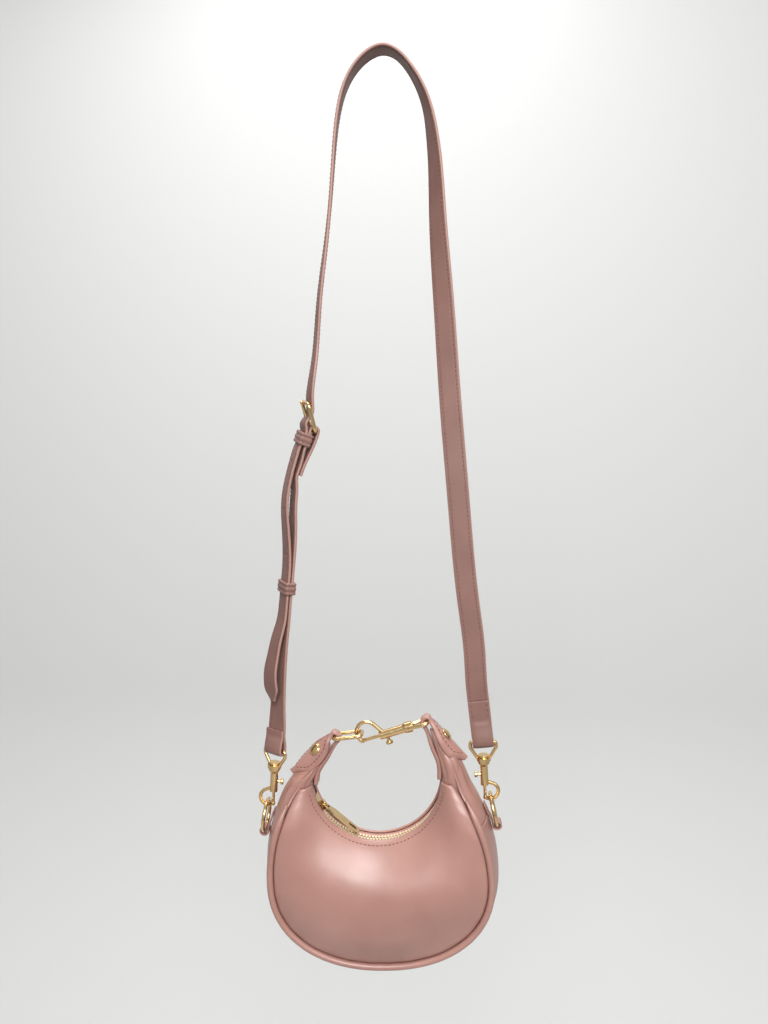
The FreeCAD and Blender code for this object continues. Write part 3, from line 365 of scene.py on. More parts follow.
metalLooks = {
    "goldPlate": {"color": (0.688, 0.488, 0.248), "rub": (0.592, 0.392, 0.176), "roughness": (0.10, 0.19),
                  "metallic": 1.0},
    "paleGold": {"color": (0.98, 0.84, 0.58), "rub": (0.92, 0.74, 0.46), "roughness": (0.35, 0.45),
                 "metallic": 0.55},
    "springSteel": {"color": (0.6, 0.6, 0.62), "rub": (0.45, 0.45, 0.47), "roughness": (0.25, 0.4),
                    "metallic": 1.0},
}
# of all metals: blotches of colour and of gloss per metre, hairline scratches and their height
metalDetail = {"cloudScale": 160, "smearScale": 420, "hairScale": 900, "hairStretch": (1, 1, 0.06),
               "hairHigh": 0.00004}


def makeMetal(name, look):
    # polished plating, a little duller and warmer where it is handled, with hairline scratches
    material, tree, shader = newMaterial(name, look["color"], look["roughness"][0], look["metallic"])
    cloud = addRange(tree, addNoise(tree, metalDetail["cloudScale"], 3), 0, 1, 0.4, 0.8)
    hair = addNoise(tree, metalDetail["hairScale"], 2, metalDetail["hairStretch"])
    setSockets(tree, shader, {
        "Base Color": addMix(tree, cloud, look["color"], look["rub"]),
        "Roughness": addRange(tree, addNoise(tree, metalDetail["smearScale"], 2), *look["roughness"]),
        "Normal": addBump(tree, hair, metalDetail["hairHigh"], 0.25)})
    return material


tapeLook = {
    "pale": (0.80, 0.50, 0.43), "gap": (0.55, 0.30, 0.25),
    "rib": 0.0006,                        # spacing of the woven ribs in metres
    "ribHigh": 0.0002,
}
liningLook = dict(tapeLook, pale=(0.40, 0.24, 0.20), gap=(0.22, 0.12, 0.10))


def makeWoven(name, look):
    # ribbed woven cloth: the product of waves along and across the UV map, in real lengths
    material, tree, shader = newMaterial(name, look["pale"], 0.8, sheen=0.3)
    layout = addNode(tree, "UVMap").outputs["UV"]
    waves = []
    for turn in (0, math.pi / 2):
        place = addNode(tree, "Mapping", {"Vector": layout, "Rotation": (0, 0, turn)}).outputs["Vector"]
        waves.append(addNode(tree, "TexWave", {"Vector": place, "Scale": math.pi / (20 * look["rib"])}))
    weave = addNode(tree, "Math", {k: wave.outputs["Fac"] for k, wave in enumerate(waves)},
                    operation="MULTIPLY").outputs[0]
    setSockets(tree, shader, {"Base Color": addMix(tree, weave, look["gap"], look["pale"]),
                              "Normal": addBump(tree, weave, look["ribHigh"], 0.6)})
    return material


# darker than the rose thread alone: the colour also carries painted shade of the stitch holes and of the
# thread's own shadow
threadLook = {"color": (0.17, 0.06, 0.052), "roughness": 0.7, "sheen": 0.15, "plyScale": 3000,
              "plyHigh": 0.0001}


def makeThread(name, look):
    # matt sewing thread with the twist of its plies
    material, tree, shader = newMaterial(name, look["color"], look["roughness"], sheen=look["sheen"])
    ply = addNoise(tree, look["plyScale"], 2)
    setSockets(tree, shader, {"Normal": addBump(tree, ply, look["plyHigh"], 0.5)})
    return material


bagLeather = makeLeather("bagLeather", leatherLook)
strapLeather = makeLeather("strapLeather", strapLook)
metals = {name: makeMetal(name, look) for name, look in metalLooks.items()}
wovenTape = makeWoven("wovenTape", tapeLook)
liningCloth = makeWoven("liningCloth", liningLook)
thread = makeThread("roseThread", threadLook)
print("materials made")


# stitches

stitching = {
    "length": 2.1, "pitch": 3.0, "thick": 0.66, "sink": 0.16,
    # rings of one thread: place along it, height of its middle and size, as shares of its half thickness
    "share": (-0.5, -0.42, -0.15, 0.15, 0.42, 0.5),
    "lift": (-0.9, 0.1, 0.5, 0.5, 0.1, -0.9), "size": (0.35, 0.9, 1.0, 1.0, 0.9, 0.35),
    "around": 6,
}


def stitchRow(name, path, away, body, look=stitching):
    # short bent threads along a path: each is a tapered loop of rings, its ends sunk in the leather
    along = runAlong(path)
    count = max(2, int(along[-1] // look["pitch"]))
    starts = (np.arange(count) + 0.5) * along[-1] / count
    at = starts[:, None] + np.array(look["share"]) * look["length"]
    point, up = (np.stack([np.interp(at, along, column) for column in rows.T], -1) for rows in (path, away))
    up = unit(up)
    side = unit(np.cross(up, unit(point[:, -1] - point[:, 0])[:, None]))
    half = look["thick"] / 2
    lift = np.array(look["lift"]) * half - look["sink"]
    size = np.array(look["size"]) * half
    turn = fullTurn(look["around"])
    rings = (point + up * lift[:, None])[:, :, None] + size[:, None, None] * (
        np.cos(turn) * side[:, :, None] + np.sin(turn) * up[:, :, None])
    shift = np.arange(count)[:, None, None] * rings.shape[1] * rings.shape[2]
    groups = [(faces + shift).reshape(-1, faces.shape[1]) for faces in loftFaces(*rings.shape[1:3])]
    makePiece(name, rings, groups, thread, body)


# the bag's own frame: the origin is the centre of the round handle hole

bagCentre = jointPlace("zip_travel")
bagX = jointAxis("purse_swing")
bagY = np.array([0.0, 1.0, 0.0])
bagZ = np.cross(bagX, bagY)


def fromBag(points):
    return bagCentre + points @ np.stack([bagX, bagY, bagZ])


def polar(radius, angle, y=0.0):
    # a point at an angle from straight down, positive to the right
    a = np.radians(angle)
    return np.stack(np.broadcast_arrays(radius * np.sin(a), y, -radius * np.cos(a)), -1)


def bagLeatherPiece(name, rings, shade, *nodes):
    # a leather piece of the pouch, from rings in the bag's own frame
    loftPiece(name, fromBag(rings), bagLeather, "purse", shade=shade, standsFor=nodes, slotName="bag_leather")


pouch = {
    "halfWidth": 77.5, "widestZ": -72.0, "below": 60.4, "bottomPower": 2.2, "sideRadius": 115.0,
    "rim": 47.6, "rimGap": 8.5, "seamGap": 24.0, "hornGap": 12.0, "hornAngle": 85.0,
    "closingFrom": 60.0, "closingTo": 89.0, "bulge": 17.0, "leather": 1.7,
    # soft hollows and swells of the filled skin: x, z, width, height, depth (front, then back)
    "frontDents": [(-52, -52, 16, 26, -2.2), (50, -50, 15, 24, -2.0), (20, -74, 26, 14, 1.4),
                   (-26, -84, 22, 18, -1.2), (34, -104, 18, 14, -0.9), (-6, -112, 26, 10, 0.9),
                   (-60, -92, 12, 16, 0.9), (62, -84, 10, 20, 0.8)],
    "backDents": [(-40, -60, 20, 20, -1.6), (44, -74, 18, 26, -1.5), (4, -92, 30, 18, 1.2)],
}


def sideX(z):
    # half width of the seam line: below the widest place a squarish ellipse, above it an arc
    drop = z - pouch["widestZ"]
    share = np.clip(-drop / pouch["below"], 0, 1)
    low = pouch["halfWidth"] * (1 - share ** pouch["bottomPower"]) ** (1 / pouch["bottomPower"])
    arc = np.sqrt(np.maximum(pouch["sideRadius"] ** 2 - drop ** 2, 0))
    return np.where(drop < 0, low, pouch["halfWidth"] - pouch["sideRadius"] + arc)


def seamRadius(angle):
    # distance from the handle hole's centre out to the seam line, found by halving
    bottom = pouch["widestZ"] - pouch["below"]
    low, high = np.full(np.shape(angle), pouch["rim"]), np.full(np.shape(angle), -2 * bottom)
    for _ in range(44):
        middle = (low + high) / 2
        x, _, z = np.moveaxis(polar(middle, angle), -1, 0)
        inside = (z > bottom) & (np.abs(x) < sideX(z))
        low, high = np.where(inside, middle, low), np.where(inside, high, middle)
    return low


def seamPoint(angle):
    return polar(seamRadius(angle), angle)


def seamNormal(angle):
    # square to the seam line, out of the bag, from two points of the line close by
    run = unit(seamPoint(angle + 0.2) - seamPoint(angle - 0.2))
    return np.stack([run[..., 2], np.zeros(run.shape[:-1]), -run[..., 0]], -1)


def evenAngles(low, high, count):
    # angles spaced evenly along the seam line
    fine = np.linspace(low, high, 500)
    run = runAlong(seamPoint(fine))
    return np.interp(np.linspace(0, run[-1], count), run, fine)


def seamGap(angle):
    # half the distance between the two seams: it closes in towards the horns
    closing = ease((np.abs(angle) - pouch["closingFrom"]) / (pouch["closingTo"] - pouch["closingFrom"]))
    return pouch["seamGap"] - (pouch["seamGap"] - pouch["hornGap"]) * closing


# front and back panels

panel = {
    "along": 190, "across": 56, "swellPower": 0.9,
    "dentsFromRim": 14.0, "dentsFromSeam": 12.0,
    "turnedEdge": 2.4, "turnedDeep": 1.3,     # the edge at the mouth is turned in
    "stitchFrom": 2.3, "groove": (-0.35, 2.3, 0.7),
    "seamEdge": 2.0, "seamDeep": 0.8,         # the last stretch dives into the seam
    # small puckers where the seam gathers the skin: height, place and width, and waves per radian
    "pucker": (0.28, 3.0, 4.0), "puckerWaves": 44, "puckerDrift": 9, "puckerReach": 40.0,
    "seamShade": 0.4, "shadeWide": 0.9, "stitchEnds": 4,
}


def panelSkin(angle, share, dents):
    # radius and depth of the skin: a straight slope from mouth edge to seam plus a sine swell,
    # then the dents; the edge is turned in and the last stretch dives into the seam
    reach = seamRadius(angle) - pouch["rim"]
    radius = pouch["rim"] + reach * share
    swell = pouch["bulge"] * reach / (seamRadius(0.0) - pouch["rim"])
    depth = pouch["rimGap"] + (seamGap(angle) - pouch["rimGap"]) * share
    depth = depth + swell * np.sin(np.pi * share ** panel["swellPower"])
    across, _, up = np.moveaxis(polar(radius, angle), -1, 0)
    fromRim, fromSeam = share * reach, (1 - share) * reach
    room = np.minimum(ease(fromRim / panel["dentsFromRim"]), ease(fromSeam / panel["dentsFromSeam"]))
    for x, z, wide, high, lift in dents:
        depth = depth + room * lift * hump(across - x, wide) * hump(up - z, high)
    depth = depth - panel["turnedDeep"] * (1 - np.clip(fromRim / panel["turnedEdge"], 0, 1)) ** 2
    depth = depth - panel["seamDeep"] * (1 - np.clip(fromSeam / panel["seamEdge"], 0, 1)) ** 2
    turn = np.radians(angle)
    waves = np.sin(turn * panel["puckerWaves"] + 2 * np.sin(turn * panel["puckerDrift"]))
    puckers = ridges(fromSeam, [panel["pucker"]]) * waves * ease(reach / panel["puckerReach"])
    return radius, depth + ridges(fromRim, [panel["groove"]]) + puckers


def makePanel(name, node, side, dents):
    # the skin and, one thickness further in along its own normal, its inner face
    angle = evenAngles(-pouch["hornAngle"], pouch["hornAngle"], panel["along"])[:, None]
    radius, depth = panelSkin(angle, np.linspace(0, 1, panel["across"]), dents)
    runR, runD = np.gradient(radius, axis=1), np.gradient(depth, axis=1)
    inset = pouch["leather"] / np.hypot(runR, runD)
    outer = polar(radius, angle, side * depth)
    inner = polar(radius + inset * runD, angle, side * (depth - inset * runR))
    rings = sheetRings(outer, inner)
    toSeam = np.linalg.norm(outer - outer[:, -1:], axis=2)
    shade = faceShade(rings, panel["seamShade"] * hump(toSeam, panel["shadeWide"]))
    bagLeatherPiece(name, rings, shade, node)
    # the stitches follow the mouth's edge, between two columns of the skin's points
    column = panel["stitchFrom"] / (seamRadius(angle[:, 0]) - pouch["rim"]) * (panel["across"] - 1)
    low = np.floor(column).astype(int)
    rows = np.arange(len(column))
    part = (column - low)[:, None]
    line = outer[rows, low] * (1 - part) + outer[rows, low + 1] * part
    across = unit(outer[rows, low + 2] - outer[rows, low])
    away = facing(side * bagY, np.cross(tangents(line), across))
    keep = slice(panel["stitchEnds"], -panel["stitchEnds"])
    stitchRow(name + "Stitches", fromBag(line[keep]), fromBag(away[keep]) - bagCentre, "purse")


makePanel("frontPanel", "front_panel", -1, pouch["frontDents"])
makePanel("backPanel", "back_panel", 1, pouch["backDents"])
print("panels made")


# piping and gusset

piping = {
    "thick": 4.3, "tip": 1.5, "endAngle": 76.0, "taper": 8.0, "clear": 0.3, "cover": 0.25,
    # the cover is gathered a little over its cord: share of the radius, waves per millimetre
    "gather": 0.012, "gatherWaves": (0.9, 0.23), "shade": 0.3, "shadeFrom": 0.55, "along": 260, "around": 20,
}
pipingOffset = piping["thick"] / 2 + piping["clear"]


def makePiping(name, node, side):
    # a cord along the seam line that tapers at both ends, with painted shade on the side of the seam
    angle = evenAngles(-piping["endAngle"], piping["endAngle"], piping["along"])
    normal = seamNormal(angle)
    path = seamPoint(angle) + normal * pipingOffset
    path[:, 1] = side * seamGap(angle)
    share = ease((piping["endAngle"] - np.abs(angle)) / piping["taper"])
    radius = (piping["tip"] + (piping["thick"] - piping["tip"]) * share) / 2 + piping["cover"]
    gathers = np.prod(np.sin(np.outer(piping["gatherWaves"], runAlong(path))), axis=0)
    rings = tubeRings(path, normal, radius * (1 + piping["gather"] * gathers), piping["around"])
    toSeam = np.clip(-np.cos(fullTurn(piping["around"])[..., 0]) - piping["shadeFrom"], 0, 1)
    bagLeatherPiece(name, rings, np.broadcast_to(piping["shade"] * toSeam, rings.shape[:2]), node)


makePiping("frontPiping", "front_piping", -1)
makePiping("backPiping", "back_piping", 1)

gusset = {
    "bulgeBottom": 9.8, "bulgeSide": 6.6, "bulgeTop": 8.0, "sideAngle": 50.0, "seamAngle": 64.0, "across": 30,
    "shadeWide": 0.06,                        # share of the half width that is dark along the piping
    # height, lengths of the waves over each other, how far they shift, waves across in radians
    "ripple": 0.22, "rippleWaves": (9, 31), "rippleShift": 1.5, "rippleAcross": 2.2,
    "lowerAlong": 200, "lowerShade": 0.8, "upperAlong": 90, "upperShade": 0.7,
    # long folds down from a tab's corners: place across, depth
    "folds": [(-0.52, 1.0), (0.06, 0.7), (0.55, 1.0)], "foldWide": 0.13, "foldShade": 0.35,
    # how far they draw together, and where along the band they start and end, each with its slope
    "foldsMeet": 0.3, "foldFade": [(0.12, 3.2), (0.97, 8)],
}


def gussetStation(angle):
    # middle point, normal, half width and height of the arched band at angles of the seam line
    away = np.abs(angle)
    normal = seamNormal(angle)
    point = seamPoint(angle) + normal * pipingOffset
    half = seamGap(angle) - piping["thick"] / 2 - piping["clear"]
    top = ease((away - gusset["seamAngle"]) / (pouch["hornAngle"] - gusset["seamAngle"]))
    atBottom, atSide, atTop = gusset["bulgeBottom"], gusset["bulgeSide"], gusset["bulgeTop"]
    bulge = atBottom + (atSide - atBottom) * ease(away / gusset["sideAngle"])
    return point, normal, half, bulge + (atTop - atSide) * top


def bandFaces(point, normal, half, bulge, thick, steps, ripple=0.0):
    # outer and inner face of a band arched across Y: the rise is a parabola
    k = acrossShares(steps)
    rise = bulge[:, None, None] * (1 - k ** 2) + ripple
    middle = point[:, None] + bagY * half[:, None, None] * k
    return middle + normal[:, None] * rise, middle + normal[:, None] * (rise - thick)


def gussetEdges(strength):
    # shade across the band, dark along the piping
    return strength * hump(1 - np.abs(acrossShares(gusset["across"])[..., 0]), gusset["shadeWide"])


def makeGussetLower():
    # the band under the pouch: its ripples are two sines over each other, faded out to its edges
    angle = evenAngles(-gusset["seamAngle"], gusset["seamAngle"], gusset["lowerAlong"])
    point, normal, half, bulge = gussetStation(angle)
    k = acrossShares(gusset["across"])
    short, long = (runAlong(point)[:, None, None] / wave for wave in gusset["rippleWaves"])
    waves = np.sin(short + gusset["rippleShift"] * np.sin(long)) * np.cos(k * gusset["rippleAcross"])
    ripple = gusset["ripple"] * (1 - k ** 2) * waves
    rings = sheetRings(*bandFaces(point, normal, half, bulge, pouch["leather"], gusset["across"], ripple))
    bagLeatherPiece("gussetLower", rings, faceShade(rings, gussetEdges(gusset["lowerShade"])), "gusset_lower")


makeGussetLower()
print("piping and lower gusset made")


# handle tabs and the gusset ends inside them

tabs = {
    # twist: degrees that the leather of the spear turns towards the front
    "left": {"side": -1, "link": (-29.5, 0, 29.5), "ear": (-64.6, 0, 5.6), "knee": (-43.6, 0, 4.0),
             "twist": 40.0},
    "right": {"side": 1, "link": (40.0, 0, 38.9), "ear": (68.5, 0, 11.0), "knee": (47.2, 0, 8.0),
              "twist": 6.0},
    "footAngle": 78.0, "footRadius": 48.2, "thick": 1.7, "padding": 1.3, "loopWidth": 6.8, "loopClear": 0.8,
    "linkWire": 2.9, "rootWidth": 16.0, "arch": 5.0, "sink": 1.9, "corner": 28.0, "stud": 16.5,
    "layerGap": 0.35, "along": 150, "across": 24, "twistDepth": 4.0,
    # half width: squeezed inside the link, wider again down the inner leg, which is cut off square
    "loopHalf": 2.3, "legHalf": (2.9, 3.7, 4.0), "legEnd": 0.64, "leastHalf": 0.7,
    # the edges are rolled: a low welt along each one, and a groove for the stitches inside it
    "edge": [(0.25, 0.8, 0.6), (-0.3, 1.9, 0.5)], "edgeFrom": 3.0, "edgeMix": 0.12,
    "stitchFrom": 1.9, "stitchHalf": 2.9,
    # the gusset's end inside the tab: its slack, and share of the width at its four stations
    "gussetSlack": 0.8, "gussetShare": (0.82, 0.95, 1.0, 1.0), "gussetArch": 0.3,
    # share of the way to the corner over which it widens, and the least half width and arch
    "neck": 0.7, "tipHalf": 0.9, "leastArch": 0.1,
    # start and length of the stretches over which the twist sets in: past the loop, back from the
    # ear's tip, and up from under the crown
    "twistFade": [(2, 9), (-4, 16), (-11, 7)],
}


class Tab:
    # directions and crown line of one tab; stations are distances from the loop to the ear's tip
    def __init__(self, name):
        shape = tabs[name]
        self.name, self.side, self.twist = name, shape["side"], math.radians(shape["twist"])
        self.link, self.knee, ear = (np.array(shape[key], float) for key in ("link", "knee", "ear"))
        self.foot = polar(tabs["footRadius"], self.side * tabs["footAngle"])
        self.loopRadius = tabs["linkWire"] / 2 + tabs["loopClear"] + tabs["thick"]
        self.normal = facing(np.array([0, 0, 1]), np.cross(bagY, unit(ear - self.link)))
        self.top = self.link + self.normal * self.loopRadius
        self.length = np.linalg.norm(ear - self.top)
        self.down = unit(ear - self.top)
        self.lean = facing(self.normal, np.cross(bagY, self.down))

    def turned(self, points):
        # turns points round a line under the crown, from the loop on and back again at the ear;
        # the inner leg, deep under the crown, stays as it is
        away = points - self.top
        along, side, up = away @ self.down, away[..., 1], away @ self.lean
        (start, rise), (end, fall), (deep, fade) = tabs["twistFade"]
        share = ease((along - start) / rise) * ease((self.length - end - along) / fall)
        angle = self.twist * (share * ease((up - deep) / fade))
        up = up + tabs["twistDepth"]
        newUp = up * np.cos(angle) + side * np.sin(angle) - tabs["twistDepth"]
        newSide = side * np.cos(angle) - up * np.sin(angle)
        return self.top + np.stack([along, newSide, newUp], -1) @ np.stack([self.down, bagY, self.lean])

    def crown(self, station):
        return self.top + self.down * np.asarray(station, float)[..., None]

    def toTip(self, station):
        # 1 at the corner, 0 at the ear's tip
        return (self.length - station) / (self.length - tabs["corner"])

    def arch(self, station):
        rise = np.where(station > tabs["corner"], self.toTip(station), ease(station / tabs["corner"]))
        return tabs["arch"] * rise + tabs["leastArch"]

    def halfWidth(self, station):
        share = ease(station / (tabs["neck"] * tabs["corner"]))
        before = (tabs["loopWidth"] + (tabs["rootWidth"] - tabs["loopWidth"]) * share) / 2
        after = np.maximum(tabs["tipHalf"], tabs["rootWidth"] / 2 * self.toTip(station))
        return np.where(station > tabs["corner"], after, before)


def makeTab(tab):
    # one strap: up the outer leg from the ear's tip, round the link's wire, down the inner leg
    corner, thick, padding = tabs["corner"], tabs["thick"], tabs["padding"]
    stations = np.array([tab.length - 0.6, tab.length - 3, (tab.length + corner) / 2, corner + 0.4,
                         corner - 3, tabs["stud"] + 5, tabs["stud"], tabs["stud"] - 6, 4, 1])
    count = len(stations)
    turn = np.radians(np.arange(30, 181, 30))[:, None]
    radial = tab.normal * np.cos(turn) + squareTo(tab.normal, -tab.down) * np.sin(turn)
    loop = tab.link + radial * (tab.loopRadius + padding)
    start = tab.link - tab.normal * (tab.loopRadius - thick / 2)
    leg = np.stack([(start + tab.knee) / 2, tab.knee, tab.knee + (tab.foot - tab.knee) * tabs["legEnd"]])
    legOut = facing(-tab.normal, np.cross(tangents(np.vstack([start, leg]))[1:], bagY))
    face = np.concatenate([tab.crown(stations), loop, leg + legOut * (thick / 2 + padding)])
    outward = np.concatenate([np.broadcast_to(tab.lean, (count, 3)), radial, legOut])
    half = np.concatenate([tab.halfWidth(stations), np.full(len(loop), tabs["loopHalf"]), tabs["legHalf"]])
    half[count - 2:count] = tabs["loopHalf"] + np.array([1.4, 0.4])
    arch = np.concatenate([tab.arch(stations), np.zeros(len(loop) + len(leg))])
    spearEnd = runAlong(face)[count - 1]
    at, face, outward, half, arch = evenSplines(tabs["along"], face, outward, half, arch)
    outward, half, arch = unit(outward), np.maximum(half, tabs["leastHalf"]), np.maximum(arch, 0.0)
    fromEdge = (1 - np.abs(acrossShares(tabs["across"]))) * half[:, None, None]
    welt = ridges(fromEdge, tabs["edge"]) * (half > tabs["edgeFrom"])[:, None, None]
    rings = sheetRings(*bandFaces(face - outward * arch[:, None], outward, half, arch, thick + padding,
                                  tabs["across"], welt))
    shade = np.zeros(rings.shape[:2])
    shade[:, :2] = shade[:, 2 + tabs["across"]:5 + tabs["across"]] = tabs["edgeMix"]
    pieceName = "handleTab" + tab.name.title()
    bagLeatherPiece(pieceName, tab.turned(rings), shade, "handle_tab_" + tab.name)
    # topstitching down both edges of the spear
    spear = (at < spearEnd) & (half > tabs["stitchHalf"])
    for side, edgeName in ((-1, "Front"), (1, "Back")):
        inset = side * np.clip(1 - tabs["stitchFrom"] / half, 0.0, 1.0)
        line = face - outward * (arch * inset ** 2)[:, None] + bagY * (half * inset)[:, None]
        tips = line + outward + bagY * (2 * arch * inset / half)[:, None]
        line, tips = fromBag(tab.turned(line[spear])), fromBag(tab.turned(tips[spear]))
        stitchRow(pieceName + edgeName + "Stitches", line, tips - line, "purse")


def makeGussetUpper(tab):
    # from the cross seam the band rolls in and ends between the tab's two legs
    corner = tabs["corner"]
    angle = tab.side * np.linspace(gusset["seamAngle"] + 0.3, pouch["hornAngle"] - 8, 5)
    point, normal, half, bulge = gussetStation(angle)
    stations = np.array([corner + 3, corner - 3, tabs["stud"] + 4, tabs["stud"] - 4])
    inside = np.minimum(stations, corner)
    width = tab.halfWidth(inside)
    tabHalf = half[-1] + (width - tabs["gussetSlack"] - half[-1]) * np.array(tabs["gussetShare"])
    tabArch = tab.arch(inside) * (tabHalf / width) ** 2 + tabs["gussetArch"]
    sink = tabs["thick"] + tabs["layerGap"] + tabs["sink"] * ease((stations - tabs["stud"]) / 8)
    crown = tab.crown(stations) - tab.lean * (sink + tabArch)[:, None]
    leans = np.broadcast_to(tab.lean, crown.shape)
    point, half, bulge, normal = (np.concatenate(pair) for pair in (
        (point, crown), (half, tabHalf), (bulge, tabArch), (normal, leans)))
    crest = point + normal * bulge[:, None]
    columns = crest, point, normal, half, bulge
    at, crest, point, normal, half, bulge = evenSplines(gusset["upperAlong"], *columns)
    k = acrossShares(gusset["across"])
    share = (at / at[-1])[:, None, None]
    # the long folds run down from the tab's corners and fade out towards the cross seam
    (start, rise), (end, fall) = gusset["foldFade"]
    folds = sum(-deep * hump(k - place * (1 - gusset["foldsMeet"] * share), gusset["foldWide"])
                for place, deep in gusset["folds"])
    folds = folds * ease((share - start) * rise)
    rings = sheetRings(*bandFaces(point, unit(normal), half, bulge, pouch["leather"], gusset["across"],
                                  folds * ease((end - share) * fall)))
    dark = np.maximum(gussetEdges(gusset["upperShade"]), -gusset["foldShade"] * folds[..., 0])
    shade = faceShade(rings, dark)
    bagLeatherPiece("gussetUpper" + tab.name.title(), tab.turned(rings), shade, "gusset_upper_" + tab.name)


hornRoll = {
    # from inside the pouch (angles) up between the tab's legs (stations), each with its half widths
    "inPouch": (66.0, 74.0, 82.0), "inPouchHalf": (5.0, 9.0, 10.6),
    "stations": (31.0, 24.0, 15.0, 7.0), "half": (9.2, 7.2, 5.6, 2.6),
    "along": 80, "around": 44, "under": 2.3, "overRim": 1.2, "squareness": 0.8,
    # soft folds: share of the size, angle from the inner side and width in radians
    "folds": [(0.10, 1.1, 0.17), (0.10, 1.95, 0.17)], "foldShade": 2.6, "shadeFrom": 0.3,
    "foldFade": (0.25, 4, 5),                 # where along the roll they start, and both slopes
}


def makeHornRoll(tab):
    # the gusset's leather rolled in under itself: a closed oval tube that runs from inside the
    # pouch up between the tab's two legs; its section is a superellipse with two soft folds
    angle = tab.side * np.array(hornRoll["inPouch"])
    point, normal, _, bulge = gussetStation(angle)
    crown = tab.crown(hornRoll["stations"]) - tab.lean * (hornRoll["under"] + tabs["thick"])
    legs = np.stack([tab.foot, tab.knee, tab.link])
    legRun = runAlong(legs)
    onLeg = np.clip(legRun[-1] - 0.98 * np.linalg.norm(crown - tab.link, axis=1), 0, None)
    leg = np.stack([np.interp(onLeg, legRun, column) for column in legs.T], -1)
    outside = np.concatenate([point + normal * (bulge - hornRoll["under"])[:, None], crown])
    inside = np.concatenate([polar(pouch["rim"] + hornRoll["overRim"], angle), leg])
    half = np.concatenate([hornRoll["inPouchHalf"], hornRoll["half"]])
    at, centre, outside, half = evenSplines(hornRoll["along"], (outside + inside) / 2, outside, half)
    half = np.maximum(half, 1.0)[:, None, None]
    turn = fullTurn(hornRoll["around"])
    x, y = (np.sign(wave) * np.abs(wave) ** hornRoll["squareness"] for wave in (np.cos(turn), np.sin(turn)))
    share = (at / at[-1])[:, None, None]
    fold = ridges(np.abs(turn - np.pi), hornRoll["folds"])
    start, rise, fall = hornRoll["foldFade"]
    size = 1 - fold * ease((share - start) * rise) * ease((1 - share) * fall)
    rings = centre[:, None] + size * ((outside - centre)[:, None] * x + bagY * half * y)
    shade = (hornRoll["foldShade"] * fold * ease((share - hornRoll["shadeFrom"]) * rise))[..., 0]
    bagLeatherPiece("hornRoll" + tab.name.title(), tab.turned(rings), shade)


stud = {
    # (height over the leather, radius) of the turned rivet, from its shank to the top of its dome
    "profile": [(-5.0, 1.4), (-4.9, 1.5), (0.2, 1.5), (0.3, 4.3), (0.45, 4.5), (0.7, 4.5), (0.95, 4.2),
                (1.05, 3.7), (1.2, 3.55), (1.5, 2.9), (1.8, 1.9), (1.95, 0.9), (2.0, 0.15)],
    "around": 48,
}


def makeStud(tab):
    # the profile turned round its own axis, which turns with the leather under it
    turn = fullTurn(stud["around"])
    height, radius = np.array(stud["profile"]).T[:, :, None, None]
    seat = tab.crown(tabs["stud"])
    seat, up, side = tab.turned(np.stack([seat, seat + tab.lean, seat + bagY]))
    outward = np.cos(turn) * tab.down + np.sin(turn) * unit(side - seat)
    rings = seat + unit(up - seat) * height + radius * outward
    loftPiece("tabStud" + tab.name.title(), fromBag(rings), metals["goldPlate"], "purse",
              standsFor=["tab_stud_" + tab.name], slotName="gold_hardware")


for tab in (Tab("left"), Tab("right")):
    makeTab(tab)
    makeGussetUpper(tab)
    makeHornRoll(tab)
    makeStud(tab)
print("handle tabs made")


# strap

strap = {
    "width": 15.0, "thick": 2.4, "flap": 31.0, "foldGap": 0.06, "layerGap": 0.35, "across": 22,
    "crown": 0.14, "groove": [(-0.16, 1.9, 0.45)], "stitchFrom": 1.9, "rim": 0.7,
    "longAlong": 1500, "shortAlong": 700,
    "rightLean": 4.0, "eyeSlack": 0.55, "sewnEnd": 13.5, "hookWire": 2.6,
    # the short strap's fold round the buckle's heel bar, and the far bar of the buckle
    "heelBar": (-50.6, 0, -255.4), "heelFlap": 33.0, "heelSewnFrom": 29.0, "buckleWire": 2.8,
    "buckleLean": (-5.9, 0, 19.5), "bucklePitch": 20.4, "shortEnd": (-63.3, 0, -290.0),
    "tailTip": -441.0, "tipLength": 13.0, "tipNarrow": 0.72,
    "holeRadius": 1.4, "holePitch": 34.0, "holes": (-2, -1, 1, 2, 3), "holesAbove": 12, "holeDeep": 9,
    # cuts, as width, length and depth: for the tongue, part of the way to the far bar, and at the fold
    "slot": (2.8, 8.4, 12), "slotAt": 0.48, "heelSlot": (3.3, 9.0, 12.0),
    "longPuff": 0.8, "shortPuff": 0.6,        # how far a fold swells past its stitches
    # height and the direction of the strap's width at it, in degrees, down each side
    "leftTwist": [(1.2, 0), (-97, 9), (-130, 14), (-206, 20), (-232, 25), (-300, 25), (-352, 31), (-388, 31),
                  (-420, 40), (-463, 56), (-480, 62)],
    "rightTwist": [(1.2, 0), (-52, 26), (-75, 35), (-165, 65), (-300, 90), (-480, 90)],
    # x and z down the short strap
    "shortLine": [(-63.9, -296), (-64.8, -308), (-65.3, -325), (-66.7, -345), (-67.9, -357), (-69.1, -369),
                  (-70.3, -381), (-71.5, -393), (-73.6, -408), (-76.3, -432)],
    # how many layers outside it the loose tail lies, from its second point on
    "tailLayers": (2.3, 2.0, 1.25, 1.0, 1.0, 1.0, 1.15, 2.0),
}


def twistAt(z, side):
    marks, degrees = np.array(strap[side + "Twist"], float).T
    return np.radians(np.interp(-z, -marks, degrees))


def acrossAt(points):
    # direction of the strap's width: it turns about its own line as it goes down
    x, _, z = points.T
    turn = np.where(x > 0, twistAt(z, "right"), twistAt(z, "left"))
    return np.stack([-np.sin(turn), np.cos(turn), 0 * turn], -1)


def outwardAt(z):
    turn = twistAt(z, "left")
    return np.array([-math.cos(turn), -math.sin(turn), 0])


